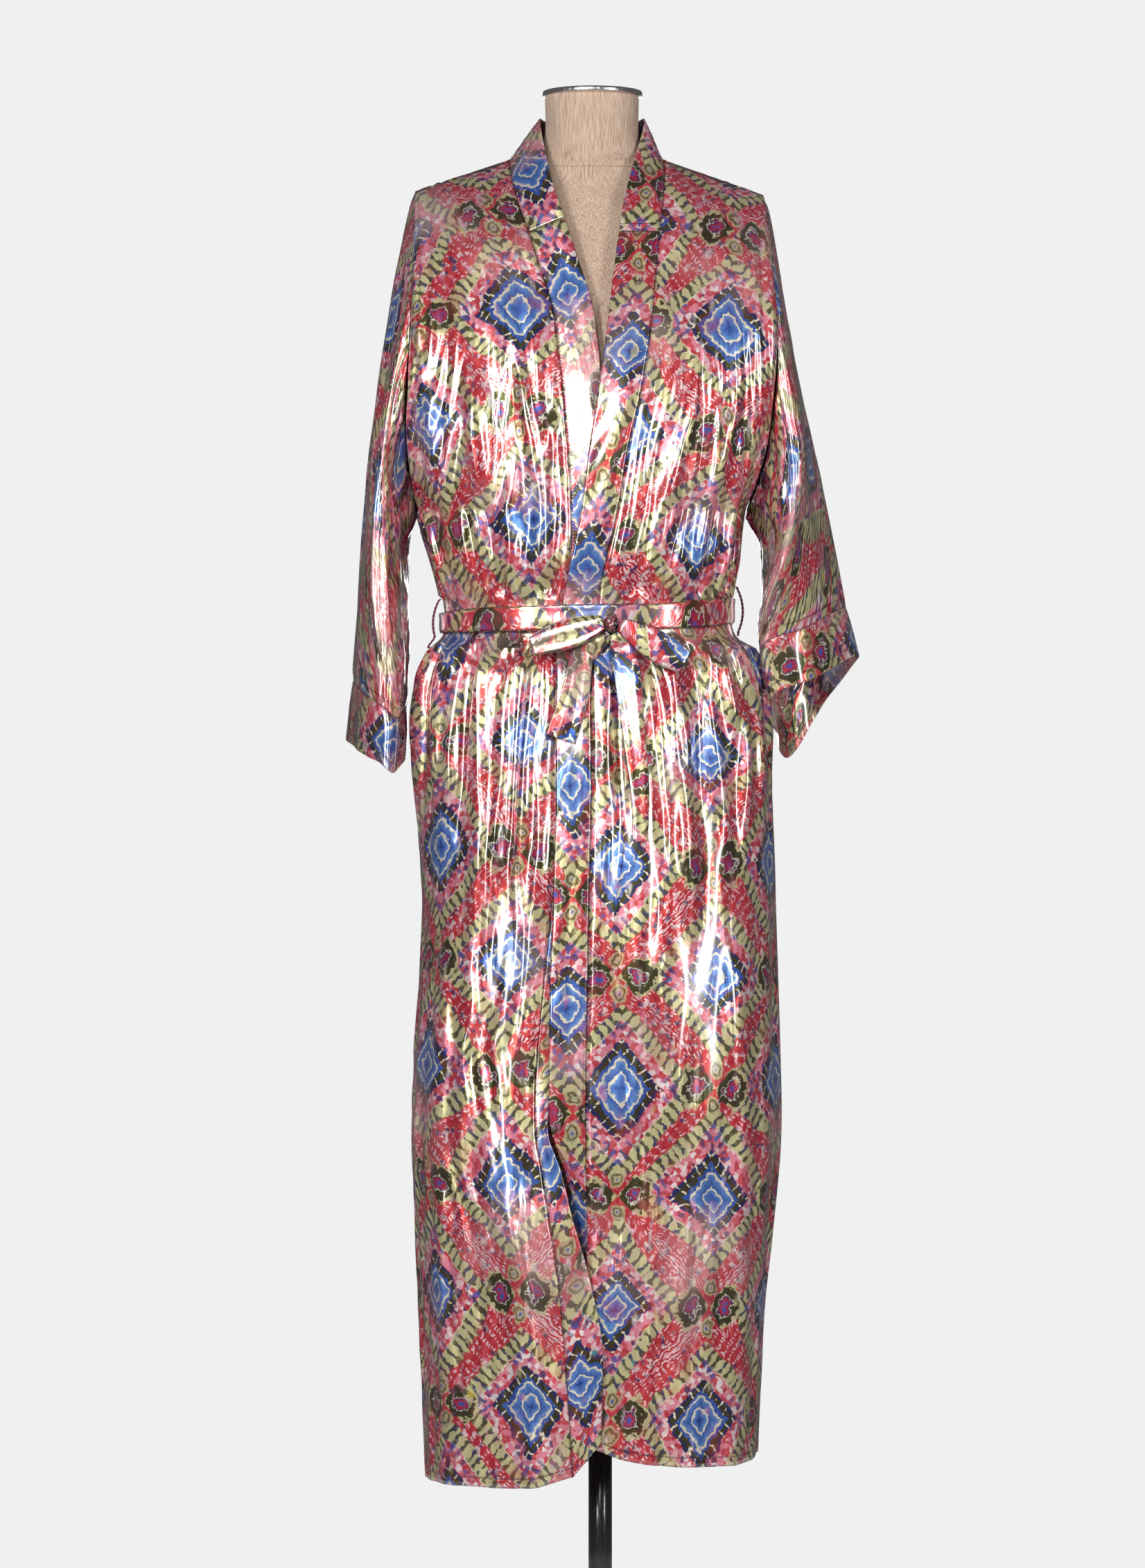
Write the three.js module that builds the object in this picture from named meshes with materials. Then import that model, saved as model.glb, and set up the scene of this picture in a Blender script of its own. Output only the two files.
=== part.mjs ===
// Kimono robe tied with its own belt, on a limbless dress form with a pole stand.
// Millimetres, +Z up, +X to the viewer's right, and the robe faces -Y. The origin is the centre of the base's
// underside. The wearer's right is at the viewer's left, at negative x.
import * as THREE from "three";

// Cloth and seams
const WALL = 2;
const HALF_SEAM = 0.2;
const CLEARANCE = 0.4;

// The form hangs a little to one side of its pole
const DRESSED_SHIFT = { x: -6.6, y: 0, z: 0 };

// Belt
const CARRIER = { reach: 26, half: 1.5, bow: 8 };
const BELT = {
  width: 28, thickness: 2.2, clearance: 0.7,
  frontHeight: 1188, height: { right: 1186, left: 1199 }, squashed: { right: 0.8, left: 1 },
};

// Stand
const BASE = { radius: 155, height: 12, edge: 3 };
const HUB = { radius: 20, top: 36, floor: 14 };
const OUTER_POLE = { radius: 12.4, bore: 10, top: 316 };
const INNER_POLE = { radius: 9.4, bottom: 60 };
const KNOB = { height: 306, stem: 3, stemLength: 2.5, radius: 5.6, length: 9 };
const CAP = { radius: 52.6, rim: 5, crown: 3.7, middle: -1.6, gap: 0.3 };

const FINISH = {
  satin: new THREE.MeshStandardMaterial({ color: 0xc25a63, roughness: 0.3, metalness: 0.25 }),
  satinBand: new THREE.MeshStandardMaterial({ color: 0x4e6fb0, roughness: 0.3, metalness: 0.25 }),
  linen: new THREE.MeshStandardMaterial({ color: 0xc4a286, roughness: 0.95, metalness: 0 }),
  chrome: new THREE.MeshStandardMaterial({ color: 0xd8d8da, roughness: 0.12, metalness: 1 }),
  black: new THREE.MeshStandardMaterial({ color: 0x15161a, roughness: 0.25, metalness: 0.3 }),
};

const mix = (a, b, t) => a + (b - a) * t;
const clamp = (t, low = 0, high = 1) => Math.min(high, Math.max(low, t));
const ease = (t) => clamp(t) ** 2 * (3 - 2 * clamp(t));
const mixPoint = (a, b, t) => a.map((value, axis) => mix(value, b[axis], t));

// Body of the robe at each height: reach of the side seams, depth of front and back at the centre
const BODY = [
  { z: 1642, right: -188, left: 178, front: 30, back: 45 },
  { z: 1600, right: -190, left: 186, front: 70, back: 74 },
  { z: 1550, right: -191, left: 190, front: 94, back: 89 },
  { z: 1500, right: -190, left: 190, front: 110, back: 97 },
  { z: 1450, right: -192, left: 190, front: 121, back: 101 },
  { z: 1400, right: -195, left: 184, front: 127, back: 102 },
  { z: 1306, right: -184, left: 160, front: 127, back: 100 },
  { z: 1253, right: -170, left: 154, front: 124, back: 99 },
  { z: 1216, right: -160.5, left: 146, front: 116, back: 96 },
  { z: 1190, right: -157, left: 144.5, front: 113, back: 94 },
  { z: 1172, right: -160, left: 150, front: 113.5, back: 95 },
  { z: 1160, right: -172, left: 165, front: 118, back: 100 },
  { z: 1126, right: -188, left: 178, front: 128, back: 110 },
  { z: 1050, right: -190.5, left: 186, front: 137, back: 121 },
  { z: 940, right: -184, left: 190, front: 140, back: 124 },
  { z: 882, right: -181, left: 191, front: 140, back: 124 },
  { z: 735, right: -189, left: 195.5, front: 140, back: 123 },
  { z: 640, right: -192, left: 196, front: 140, back: 122 },
  { z: 545, right: -188, left: 187, front: 140, back: 121 },
  { z: 430, right: -183, left: 178, front: 139, back: 119 },
  { z: 285, right: -176.5, left: 171, front: 138, back: 117 },
];

// Front bands: the seam that joins band and front, the free edge, and how far each lies out of the robe's
// surface
const BAND_RIGHT = [
  { z: 1591, seam: -68, edge: -31, rise: 15, seamOut: 3, edgeOut: 5 },
  { z: 1542, seam: -52.8, edge: -14, rise: 10, seamOut: -2, edgeOut: 0 },
  { z: 1509, seam: -42.7, edge: -3.5, rise: 10, seamOut: -2, edgeOut: -1 },
  { z: 1458, seam: -36.7, edge: 4.7, rise: 6, seamOut: -2.5, edgeOut: -2.5 },
  { z: 1409, seam: -31.8, edge: 9, rise: 3, seamOut: -3, edgeOut: -3 },
  { z: 1297, seam: -24, edge: 17, rise: 0, seamOut: -3, edgeOut: -3 },
  { z: 1188, seam: -27, edge: 16, rise: 0, seamOut: -3, edgeOut: -3 },
  { z: 1060, seam: -30, edge: 12, rise: 0, seamOut: -3, edgeOut: -3 },
  { z: 930, seam: -40, edge: 0, rise: 0, seamOut: -3, edgeOut: -3 },
  { z: 850, seam: -48, edge: -14, rise: 0, seamOut: -3, edgeOut: -3 },
  { z: 750, seam: -58, edge: -33, rise: 0, seamOut: -3, edgeOut: -3 },
  { z: 690, seam: -61, edge: -45.5, rise: 0, seamOut: -1.5, edgeOut: -1.5 },
  { z: 655, seam: -60, edge: -47, rise: 0, seamOut: 0, edgeOut: 0.5 },
  { z: 620, seam: -54, edge: -34.5, rise: 0, seamOut: 1.5, edgeOut: 3 },
  { z: 575, seam: -47, edge: -23.5, rise: 0, seamOut: 3, edgeOut: 4 },
  { z: 520, seam: -39, edge: -7.7, rise: 0, seamOut: 3, edgeOut: 4 },
  { z: 449, seam: -32, edge: 7.2, rise: 0, seamOut: 3, edgeOut: 4 },
  { z: 396, seam: -28, edge: 8.5, rise: 12, seamOut: 3, edgeOut: 3 },
  { z: 305, seam: -22, edge: 7.2, rise: 36, seamOut: 3, edgeOut: 3 },
];
const BAND_LEFT = [
  { z: 1591, seam: 68, edge: 25.5, rise: 0, seamOut: 3, edgeOut: 5 },
  { z: 1542, seam: 63.4, edge: 19.5, rise: 2, seamOut: -2, edgeOut: 0 },
  { z: 1496, seam: 59, edge: 14, rise: 2, seamOut: -1, edgeOut: 1 },
  { z: 1458, seam: 54.2, edge: 9, rise: 0, seamOut: 0, edgeOut: 2.5 },
  { z: 1409, seam: 45.1, edge: 2, rise: 0, seamOut: 2, edgeOut: 3 },
  { z: 1369, seam: 35.7, edge: -4.8, rise: 0, seamOut: 3, edgeOut: 3 },
  { z: 1297, seam: 23, edge: -14, rise: 0, seamOut: 3, edgeOut: 3 },
  { z: 1228, seam: 7.3, edge: -28, rise: 0, seamOut: 3, edgeOut: 3 },
  { z: 1188, seam: 2, edge: -35, rise: 0, seamOut: 3, edgeOut: 3 },
  { z: 1144, seam: -3.4, edge: -39.8, rise: 0, seamOut: 3, edgeOut: 3 },
  { z: 1000, seam: -3.4, edge: -39.8, rise: 0, seamOut: 3, edgeOut: 3 },
  { z: 930, seam: -5, edge: -41.6, rise: 0, seamOut: 3, edgeOut: 3 },
  { z: 800, seam: -7.6, edge: -46.1, rise: 0, seamOut: 3, edgeOut: 3 },
  { z: 700, seam: -9, edge: -47, rise: 0, seamOut: 1.8, edgeOut: 3 },
  { z: 668, seam: -9, edge: -46, rise: 0, seamOut: 0.5, edgeOut: 2.5 },
  { z: 648, seam: -9, edge: -41, rise: 0, seamOut: -0.5, edgeOut: -1 },
  { z: 620, seam: -9, edge: -31.5, rise: 0, seamOut: -1.5, edgeOut: -8 },
  { z: 575, seam: -8.6, edge: -24, rise: 0, seamOut: -3, edgeOut: -18 },
  { z: 520, seam: -7, edge: -19, rise: 0, seamOut: -3, edgeOut: -27 },
  { z: 449, seam: -5, edge: -12, rise: 0, seamOut: -3, edgeOut: -31 },
  { z: 333, seam: -2, edge: -5, rise: 0, seamOut: -3, edgeOut: -33 },
];
// The band's stretch round the neck, from the wearer's right chest to the left: seam, and standing edge
const BAND_NECK = [
  { seam: [-68, -77.4, 1591], edge: [-31, -79.4, 1606] },
  { seam: [-83.5, -47, 1638], edge: [-47, -57, 1657] },
  { seam: [-88, 0, 1675], edge: [-57, -2, 1714] },
  { seam: [-76, 38, 1672], edge: [-51, 39, 1720] },
  { seam: [-42, 63, 1668], edge: [-28, 61, 1719] },
  { seam: [-6, 70, 1667], edge: [-4, 66, 1717] },
  { seam: [32, 62, 1668], edge: [22, 61, 1719] },
  { seam: [62, 38, 1672], edge: [46, 39, 1720] },
  { seam: [72, 0, 1675], edge: [52.5, -2, 1712] },
  { seam: [73, -47, 1638], edge: [34, -57, 1640] },
  { seam: [68, -77.4, 1591], edge: [25.5, -79.4, 1591] },
];

// Sleeves: sections from armhole to hem, through the seams and folds that lie round the sleeve
const SLEEVE_RIGHT = [
  { top: [-188, 0, 1642], front: [-191, -81, 1500], frontLow: [-196, -58, 1372],
    under: [-184, 0, 1306], backLow: [-195, 62, 1376], back: [-190, 84, 1496] },
  { top: [-206, 3, 1568], front: [-212, -82, 1430], frontLow: [-211, -70, 1325],
    under: [-197, -8, 1262], backLow: [-202, 60, 1330], back: [-205, 88, 1435] },
  { top: [-225, 8, 1440], front: [-226, -84, 1345], frontLow: [-214, -88, 1262],
    under: [-197, -28, 1212], backLow: [-200, 50, 1262], back: [-214, 92, 1345] },
  { top: [-242, 13, 1282], front: [-236, -76, 1225], frontLow: [-216, -96, 1180],
    under: [-198, -52, 1142], backLow: [-198, 34, 1180], back: [-220, 90, 1226] },
  { top: [-253, 17, 1128], front: [-241, -66, 1112], frontLow: [-219, -97, 1097],
    under: [-202, -78, 1086], backLow: [-197, 5, 1108], back: [-221, 85, 1128] },
  { top: [-259, 20, 1066], front: [-245, -60, 1052], frontLow: [-222, -97, 1039],
    under: [-206, -86, 1029], backLow: [-198, -8, 1054], back: [-221, 82, 1070] },
];
const SLEEVE_LEFT = [
  { top: [178, 0, 1638], front: [190, -81, 1500], frontLow: [182, -60, 1376],
    under: [160, 0, 1306], backLow: [178, 62, 1374], back: [188, 84, 1494] },
  { top: [192, 3, 1570], front: [204, -80, 1425], frontLow: [192, -68, 1322],
    under: [174, 8, 1262], backLow: [188, 66, 1318], back: [201, 90, 1430] },
  { top: [215, 10, 1447], front: [215, -76, 1345], frontLow: [193, -68, 1268],
    under: [177, 18, 1210], backLow: [194, 80, 1252], back: [216, 98, 1345] },
  { top: [243, 18, 1322], front: [216, -60, 1264], frontLow: [182, -60, 1220],
    under: [176, 22, 1166], backLow: [197, 88, 1178], back: [234, 106, 1250] },
  { top: [267, 26, 1203], front: [222, -44, 1181], frontLow: [175, -42, 1162],
    under: [184, 27, 1122], backLow: [203, 92, 1100], back: [240, 104, 1156] },
  { top: [279, 30, 1152], front: [232, -37, 1129], frontLow: [185, -38, 1108],
    under: [193, 27, 1069], backLow: [209, 88, 1046], back: [246, 100, 1103] },
];
const CUFF_START = 0.8;
const ARMHOLE_GAP = 0.5;
const RING_SEAMS = ["top", "front", "frontLow", "under", "backLow", "back"];

// Linen torso: middle and half of its width, depth of front and back, and how square its section is
const TORSO = [
  { z: 1741, middle: -2.2, half: 49.5, front: 46, back: 50, round: 2 },
  { z: 1700, middle: -2.2, half: 49.5, front: 45.5, back: 50, round: 2 },
  { z: 1679, middle: -3, half: 56, front: 45, back: 51, round: 1.8 },
  { z: 1670, middle: -7, half: 72, front: 45, back: 51, round: 1.3 },
  { z: 1658, middle: -7, half: 116, front: 45, back: 52, round: 1.1 },
  { z: 1645, middle: -6, half: 155, front: 46, back: 54, round: 1.12 },
  { z: 1634, middle: -5.5, half: 170, front: 50, back: 58, round: 1.25 },
  { z: 1600, middle: -4, half: 175, front: 63, back: 68, round: 1.7 },
  { z: 1550, middle: -3, half: 176, front: 82, back: 80, round: 2.1 },
  { z: 1500, middle: -3, half: 170, front: 97, back: 87, round: 2.2 },
  { z: 1450, middle: -3, half: 160, front: 108, back: 90, round: 2.3 },
  { z: 1415, middle: -4, half: 153, front: 111, back: 88, round: 2.3 },
  { z: 1370, middle: -6, half: 143, front: 106, back: 83, round: 2.3 },
  { z: 1310, middle: -8, half: 129, front: 92, back: 76, round: 2.2 },
  { z: 1257, middle: -8, half: 121, front: 84, back: 73, round: 2.2 },
  { z: 1190, middle: -6, half: 134, front: 94, back: 82, round: 2.2 },
  { z: 1120, middle: -4, half: 152, front: 106, back: 98, round: 2.2 },
  { z: 1050, middle: -2, half: 165, front: 111, back: 106, round: 2.2 },
  { z: 990, middle: 0, half: 164, front: 108, back: 103, round: 2.2 },
  { z: 960, middle: 2, half: 160, front: 104, back: 98, round: 2.2 },
];

// Largest folds of each panel: where across it (0 at the side seam, 1 at the band or far seam) and how high
const FOLDS = {
  front_right: [
    { top: 1480, bottom: 1215, atTop: 0.64, atBottom: 0.72, width: 0.05, height: 6 },
    { top: 1450, bottom: 1220, atTop: 0.88, atBottom: 0.9, width: 0.035, height: 4 },
    { top: 1430, bottom: 1215, atTop: 0.38, atBottom: 0.5, width: 0.06, height: 6 },
    { top: 1340, bottom: 1212, atTop: 0.2, atBottom: 0.28, width: 0.05, height: 5 },
    { top: 1165, bottom: 830, atTop: 0.67, atBottom: 0.64, width: 0.05, height: 8 },
    { top: 1165, bottom: 960, atTop: 0.76, atBottom: 0.73, width: 0.035, height: -7 },
    { top: 1165, bottom: 900, atTop: 0.86, atBottom: 0.85, width: 0.04, height: 5 },
    { top: 1165, bottom: 1000, atTop: 0.45, atBottom: 0.4, width: 0.05, height: 6 },
    { top: 1000, bottom: 300, atTop: 0.5, atBottom: 0.42, width: 0.1, height: 6 },
    { top: 700, bottom: 290, atTop: 0.84, atBottom: 0.88, width: 0.06, height: 8 },
  ],
  front_left: [
    { top: 1480, bottom: 1220, atTop: 0.52, atBottom: 0.56, width: 0.055, height: 6 },
    { top: 1450, bottom: 1215, atTop: 0.78, atBottom: 0.82, width: 0.04, height: 5 },
    { top: 1400, bottom: 1215, atTop: 0.3, atBottom: 0.38, width: 0.05, height: 6 },
    { top: 1165, bottom: 840, atTop: 0.74, atBottom: 0.66, width: 0.045, height: 8 },
    { top: 1165, bottom: 1060, atTop: 0.52, atBottom: 0.42, width: 0.045, height: 6 },
    { top: 1165, bottom: 980, atTop: 0.88, atBottom: 0.87, width: 0.035, height: 4 },
    { top: 1165, bottom: 1000, atTop: 0.33, atBottom: 0.27, width: 0.045, height: 6 },
    { top: 1000, bottom: 320, atTop: 0.45, atBottom: 0.4, width: 0.1, height: 6 },
    { top: 800, bottom: 315, atTop: 0.8, atBottom: 0.76, width: 0.035, height: -6 },
  ],
  back_panel: [
    { top: 1480, bottom: 1215, atTop: 0.22, atBottom: 0.28, width: 0.03, height: 6 },
    { top: 1420, bottom: 1212, atTop: 0.37, atBottom: 0.4, width: 0.03, height: 6 },
    { top: 1450, bottom: 1215, atTop: 0.52, atBottom: 0.51, width: 0.03, height: 5 },
    { top: 1400, bottom: 1212, atTop: 0.64, atBottom: 0.62, width: 0.03, height: 6 },
    { top: 1460, bottom: 1215, atTop: 0.79, atBottom: 0.74, width: 0.03, height: 6 },
    { top: 1165, bottom: 900, atTop: 0.25, atBottom: 0.2, width: 0.035, height: 7 },
    { top: 1165, bottom: 820, atTop: 0.38, atBottom: 0.36, width: 0.035, height: 7 },
    { top: 1165, bottom: 760, atTop: 0.5, atBottom: 0.52, width: 0.035, height: 8 },
    { top: 1165, bottom: 860, atTop: 0.63, atBottom: 0.66, width: 0.035, height: 7 },
    { top: 1165, bottom: 930, atTop: 0.76, atBottom: 0.82, width: 0.035, height: 7 },
    { top: 850, bottom: 290, atTop: 0.3, atBottom: 0.28, width: 0.07, height: 7 },
    { top: 900, bottom: 290, atTop: 0.7, atBottom: 0.73, width: 0.07, height: 7 },
  ],
};
const HEM_LEVEL = 300;
const HEM_EASE = 640;
const HEM_BACK = { right: 289, left: 316 };
const HEM_FRONT = {
  right: [
    { at: 0, z: 289 },
    { at: 0.5, z: 292 },
    { at: 0.85, z: 294 },
    { at: 1, z: 305 },
  ],
  left: [
    { at: 0, z: 316 },
    { at: 0.3, z: 311 },
    { at: 0.7, z: 313 },
    { at: 0.9, z: 321 },
    { at: 1, z: 333 },
  ],
};

// Smooth value of one column of a table between its rows
function column(table, name, at, key = "z") {
  const down = table[0][key] > table[table.length - 1][key] ? -1 : 1;
  let row = 0;
  while (row < table.length - 2 && (at - table[row + 1][key]) * down > 0) row += 1;
  const [start, end] = [table[row], table[row + 1]];
  const span = end[key] - start[key];
  const slope = (index) => {
    const before = table[Math.max(0, index - 1)];
    const after = table[Math.min(table.length - 1, index + 1)];
    return ((after[name] - before[name]) / (after[key] - before[key])) * span;
  };
  const t = clamp((at - start[key]) / span);
  const [t2, t3] = [t * t, t * t * t];
  return (
    (2 * t3 - 3 * t2 + 1) * start[name] +
    (t3 - 2 * t2 + t) * slope(row) +
    (3 * t2 - 2 * t3) * end[name] +
    (t3 - t2) * slope(row + 1)
  );
}

// Point at t from 0 to 1 on a smooth curve through points, closed on itself or open
function through(points, t, closed) {
  const spans = closed ? points.length : points.length - 1;
  const along = clamp(t) * spans;
  const index = Math.min(spans - 1, Math.floor(along));
  const pick = (i) => (closed ? points[(i + points.length) % points.length] : points[clamp(i, 0, spans)]);
  const [p, q, r, s] = [pick(index - 1), pick(index), pick(index + 1), pick(index + 2)];
  const f = along - index;
  return q.map(
    (value, axis) =>
      value +
      0.5 * f * (r[axis] - p[axis] +
        f * (2 * p[axis] - 5 * value + 4 * r[axis] - s[axis] +
          f * (3 * (value - r[axis]) + s[axis] - p[axis]))),
  );
}

// Direction in which the cloth of the body faces at a point, the same on both sides of a seam
function outward([x, y, z]) {
  const rise = Math.max(0, z - 1440) / 130 ** 2;
  const direction = [(x + 4) / 190 ** 2, y / 105 ** 2, rise];
  const length = Math.hypot(...direction);
  return direction.map((value) => value / length);
}
const moved = (point, direction, distance) => point.map((value, axis) => value + direction[axis] * distance);

// Shape of the body's sections, and where the back rounds over the shoulders
const SQUARE = 2.25;
const ROUND_LEVEL = 1591;
const NECK_SIDE = 0.5;
const CENTRE_X = -5;

// Share of the neck band that lies in front of the neck's side
const NECK_FRONT = 0.2;

// How much of its height a fold has at a height z: none under the belt, and none at its two ends. A fold that
// ends within the belt's reach is drawn in by it.
const BELT_REACH = 40;
function foldShare(fold, z) {
  const length = fold.top - fold.bottom;
  const fromTop = (fold.top - z) / length;
  const fromBottom = (z - fold.bottom) / length;
  const nearBelt = [fold.top, fold.bottom].some((height) => Math.abs(height - BELT.frontHeight) < BELT_REACH);
  const hem = fold.bottom < 340 ? 1 : ease(fromBottom / 0.35);
  const topShare = ease(fromTop / (nearBelt && fold.top < BELT.frontHeight ? 0.1 : 0.35));
  const bottomShare = nearBelt && fold.top > BELT.frontHeight ? ease(fromBottom / 0.12) : hem;
  return topShare * bottomShare;
}
function foldHeight(panel, at, z) {
  const seams = ease(at / 0.1) * ease((1 - at) / (panel === "back_panel" ? 0.1 : 0.05));
  return FOLDS[panel].reduce((sum, fold) => {
    const middle = mix(fold.atTop, fold.atBottom, clamp((fold.top - z) / (fold.top - fold.bottom)));
    const across = (at - middle) / fold.width;
    return sum + fold.height * Math.exp(-across * across) * foldShare(fold, z) * seams;
  }, 0);
}

// A point of the armhole: t from 0 at the shoulder to 1 at the underarm, down the front or the back
function armhole(sleeve, face, t) {
  const ring = RING_SEAMS.map((seam) => sleeve[0][seam]);
  return through(ring, face === "front" ? t / 2 : 1 - t / 2, true);
}

// Where a falling value reaches a target, for t between 0 and 1
function reaches(valueAt, target) {
  let [low, high] = [0, 1];
  for (let step = 0; step < 30; step += 1) {
    const middle = (low + high) / 2;
    if (valueAt(middle) > target) low = middle;
    else high = middle;
  }
  return (low + high) / 2;
}

const SLEEVES = { right: SLEEVE_RIGHT, left: SLEEVE_LEFT };
const BANDS = { right: BAND_RIGHT, left: BAND_LEFT };
const NECK_LEVEL = BAND_NECK[2].seam[2];
const UNDERARM = SLEEVE_RIGHT[0].under[2];
const neckSeam = (along) => through(BAND_NECK.map((row) => row.seam), along, false);
const neckAlong = (side, share) => (side === "right" ? share : 1 - share);

// Each row of the body has a level: its height at the band. Its height at the armhole follows from it
function armholeShare(side, face, level) {
  const sleeve = SLEEVES[side];
  const share = (NECK_LEVEL - level) / (NECK_LEVEL - UNDERARM);
  if (share <= 0) return 0;
  if (share >= 1) return 1;
  const height = mix(sleeve[0].top[2], sleeve[0].under[2], share);
  return reaches((t) => armhole(sleeve, face, t)[2], height);
}
function hemHeight(level, hem) {
  return level + (hem - HEM_LEVEL) * ease((HEM_EASE - level) / (HEM_EASE - HEM_LEVEL));
}
function sideEdge(side, face, level, hem) {
  if (level > UNDERARM) return armhole(SLEEVES[side], face, armholeShare(side, face, level));
  const z = hemHeight(level, hem);
  return [column(BODY, side, z), 0, z];
}

// Line of the seam between a front and its band
function bandSeam(side, level) {
  const chest = BANDS[side][0].z;
  if (level >= chest) {
    const share = 1 - reaches((t) => neckSeam(neckAlong(side, (1 - t) * NECK_FRONT))[2], level);
    return neckSeam(neckAlong(side, share * NECK_FRONT));
  }
  const z = hemHeight(level, HEM_FRONT[side][HEM_FRONT[side].length - 1].z);
  const depth = column(BODY, "front", z) + column(BANDS[side], "seamOut", z);
  return [column(BANDS[side], "seam", z), -depth, z];
}

// Share of the way to the side and of the way to the full depth, round a quarter of the body
function quarter(at) {
  const angle = (at * Math.PI) / 2;
  return [Math.cos(angle) ** (2 / SQUARE), Math.sin(angle) ** (2 / SQUARE)];
}

// Front: across goes from the side seam to the band
function frontPoint(side, across, level) {
  const hem = column(HEM_FRONT[side], "z", across, "at");
  const edge = sideEdge(side, "front", level, hem);
  const seam = bandSeam(side, level);
  const [sideShare, depthShare] = quarter(across);
  const point = [
    mix(seam[0], edge[0], sideShare),
    mix(edge[1], seam[1], depthShare),
    level > HEM_EASE ? mix(seam[2], edge[2], sideShare) : hemHeight(level, hem),
  ];
  return moved(point, outward(point), foldHeight(`front_${side}`, across, point[2]));
}

// Upper edge of the back: the shoulder seam from the armhole to the neck's side, then the neckline
function backTop(side, at) {
  const neckSide = neckSeam(neckAlong(side, NECK_FRONT));
  if (at < NECK_SIDE) return mixPoint(SLEEVES[side][0].top, neckSide, at / NECK_SIDE);
  return neckSeam(neckAlong(side, mix(NECK_FRONT, 0.5, (at - NECK_SIDE) / (1 - NECK_SIDE))));
}
function backRow(side, at, level, hem) {
  const edge = sideEdge(side, "back", level, hem);
  const [sideShare, depthShare] = quarter(at);
  const depth = mix(edge[1], column(BODY, "back", edge[2]), depthShare);
  return [mix(CENTRE_X, edge[0], sideShare), depth, edge[2]];
}

// Back: across goes from the wearer's right side seam over the centre to the left one
function backPoint(across, level) {
  const side = across < 0.5 ? "right" : "left";
  const at = 1 - Math.abs(2 * across - 1);
  const hem = mix(HEM_BACK.right, HEM_BACK.left, across);
  if (level <= ROUND_LEVEL) {
    const point = backRow(side, at, level, hem);
    return moved(point, outward(point), foldHeight("back_panel", across, point[2]));
  }
  const turn = (((NECK_LEVEL - level) / (NECK_LEVEL - ROUND_LEVEL)) * Math.PI) / 2;
  const rounded = (top, low) => [
    mix(top[0], low[0], Math.sin(turn)),
    mix(top[1], low[1], Math.sin(turn)),
    mix(low[2], top[2], Math.cos(turn)),
  ];
  const inner = rounded(backTop(side, at), backRow(side, at, ROUND_LEVEL, hem));
  const seam = sideEdge(side, "back", level, hem);
  const roundedSeam = rounded(SLEEVES[side][0].top, sideEdge(side, "back", ROUND_LEVEL, hem));
  const nearSeam = quarter(at)[0] ** 6;
  return inner.map((value, axis) => value + (seam[axis] - roundedSeam[axis]) * nearSeam);
}

// Sleeve: around goes once round from the top fold, along from the armhole to the hem of the cuff
function sleevePoint(side, around, along) {
  const sections = SLEEVES[side];
  const ring = RING_SEAMS.map((seam) => through(sections.map((row) => row[seam]), along, false));
  const [x, y, z] = through(ring, around - Math.floor(around), true);
  const away = side === "right" ? -ARMHOLE_GAP : ARMHOLE_GAP;
  return [x + away, y, z];
}

const cross = (a, b) => [a[1] * b[2] - a[2] * b[1], a[2] * b[0] - a[0] * b[2], a[0] * b[1] - a[1] * b[0]];
const difference = (a, b) => a.map((value, axis) => value - b[axis]);
function unit(vector) {
  const length = Math.hypot(...vector) || 1;
  return vector.map((value) => value / length);
}

// Square to a surface at (u, v), from small steps along both
const SMALL_STEP = 0.004;
function facing(pointAt, u, v, stepU, stepV, [low, high] = [-Infinity, Infinity]) {
  const du = difference(pointAt(u + stepU, v), pointAt(u - stepU, v));
  const dv = difference(pointAt(u, Math.min(high, v + stepV)), pointAt(u, Math.max(low, v - stepV)));
  return unit(cross(du, dv));
}
function sleeveFacing(side, around, along) {
  const turned = side === "right" ? -1 : 1;
  const pointAt = (u, v) => sleevePoint(side, u, v);
  const own = facing(pointAt, around, along, SMALL_STEP, SMALL_STEP, [0, 1]).map((value) => value * turned);
  const point = pointAt(around, along);
  const likeBody = (1 - ease(along / 0.1)) * ease((point[2] - 1440) / 90);
  return unit(mixPoint(own, outward(point), likeBody));
}

// Band: across goes from the seam to the free edge
function bandPoint(side, across, level) {
  const [x, y, z] = bandSeam(side, level);
  const band = BANDS[side];
  const out = (column(band, "edgeOut", z) - column(band, "seamOut", z)) * across;
  return [mix(x, column(band, "edge", z), across), y - out, z + across * column(band, "rise", z)];
}
function bandNeckPoint(across, along) {
  return mixPoint(neckSeam(along), through(BAND_NECK.map((row) => row.edge), along, false), across);
}
function bandFacing(pointAt, turned, step) {
  return (across, along) => {
    const point = pointAt(across, along);
    const own = facing(pointAt, across, along, 0.01, step).map((value) => value * turned);
    return unit(mixPoint(outward(point), own, ease(across * 1.5)));
  };
}

// Six times the volume that triangles enclose: below zero when they face inwards
function enclosed(points, faces) {
  return faces.reduce((sum, [a, b, c]) => {
    const normal = cross(points[b], points[c]);
    return sum + points[a].reduce((total, value, axis) => total + value * normal[axis], 0);
  }, 0);
}

function meshOf(name, material, points, faces) {
  const turnedOut = enclosed(points, faces) > 0 ? faces : faces.map(([a, b, c]) => [a, c, b]);
  const geometry = new THREE.BufferGeometry();
  geometry.setAttribute("position", new THREE.Float32BufferAttribute(points.flat(), 3));
  geometry.setIndex(turnedOut.flat());
  geometry.computeVertexNormals();
  const mesh = new THREE.Mesh(geometry, material);
  mesh.name = name;
  return mesh;
}

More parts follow.
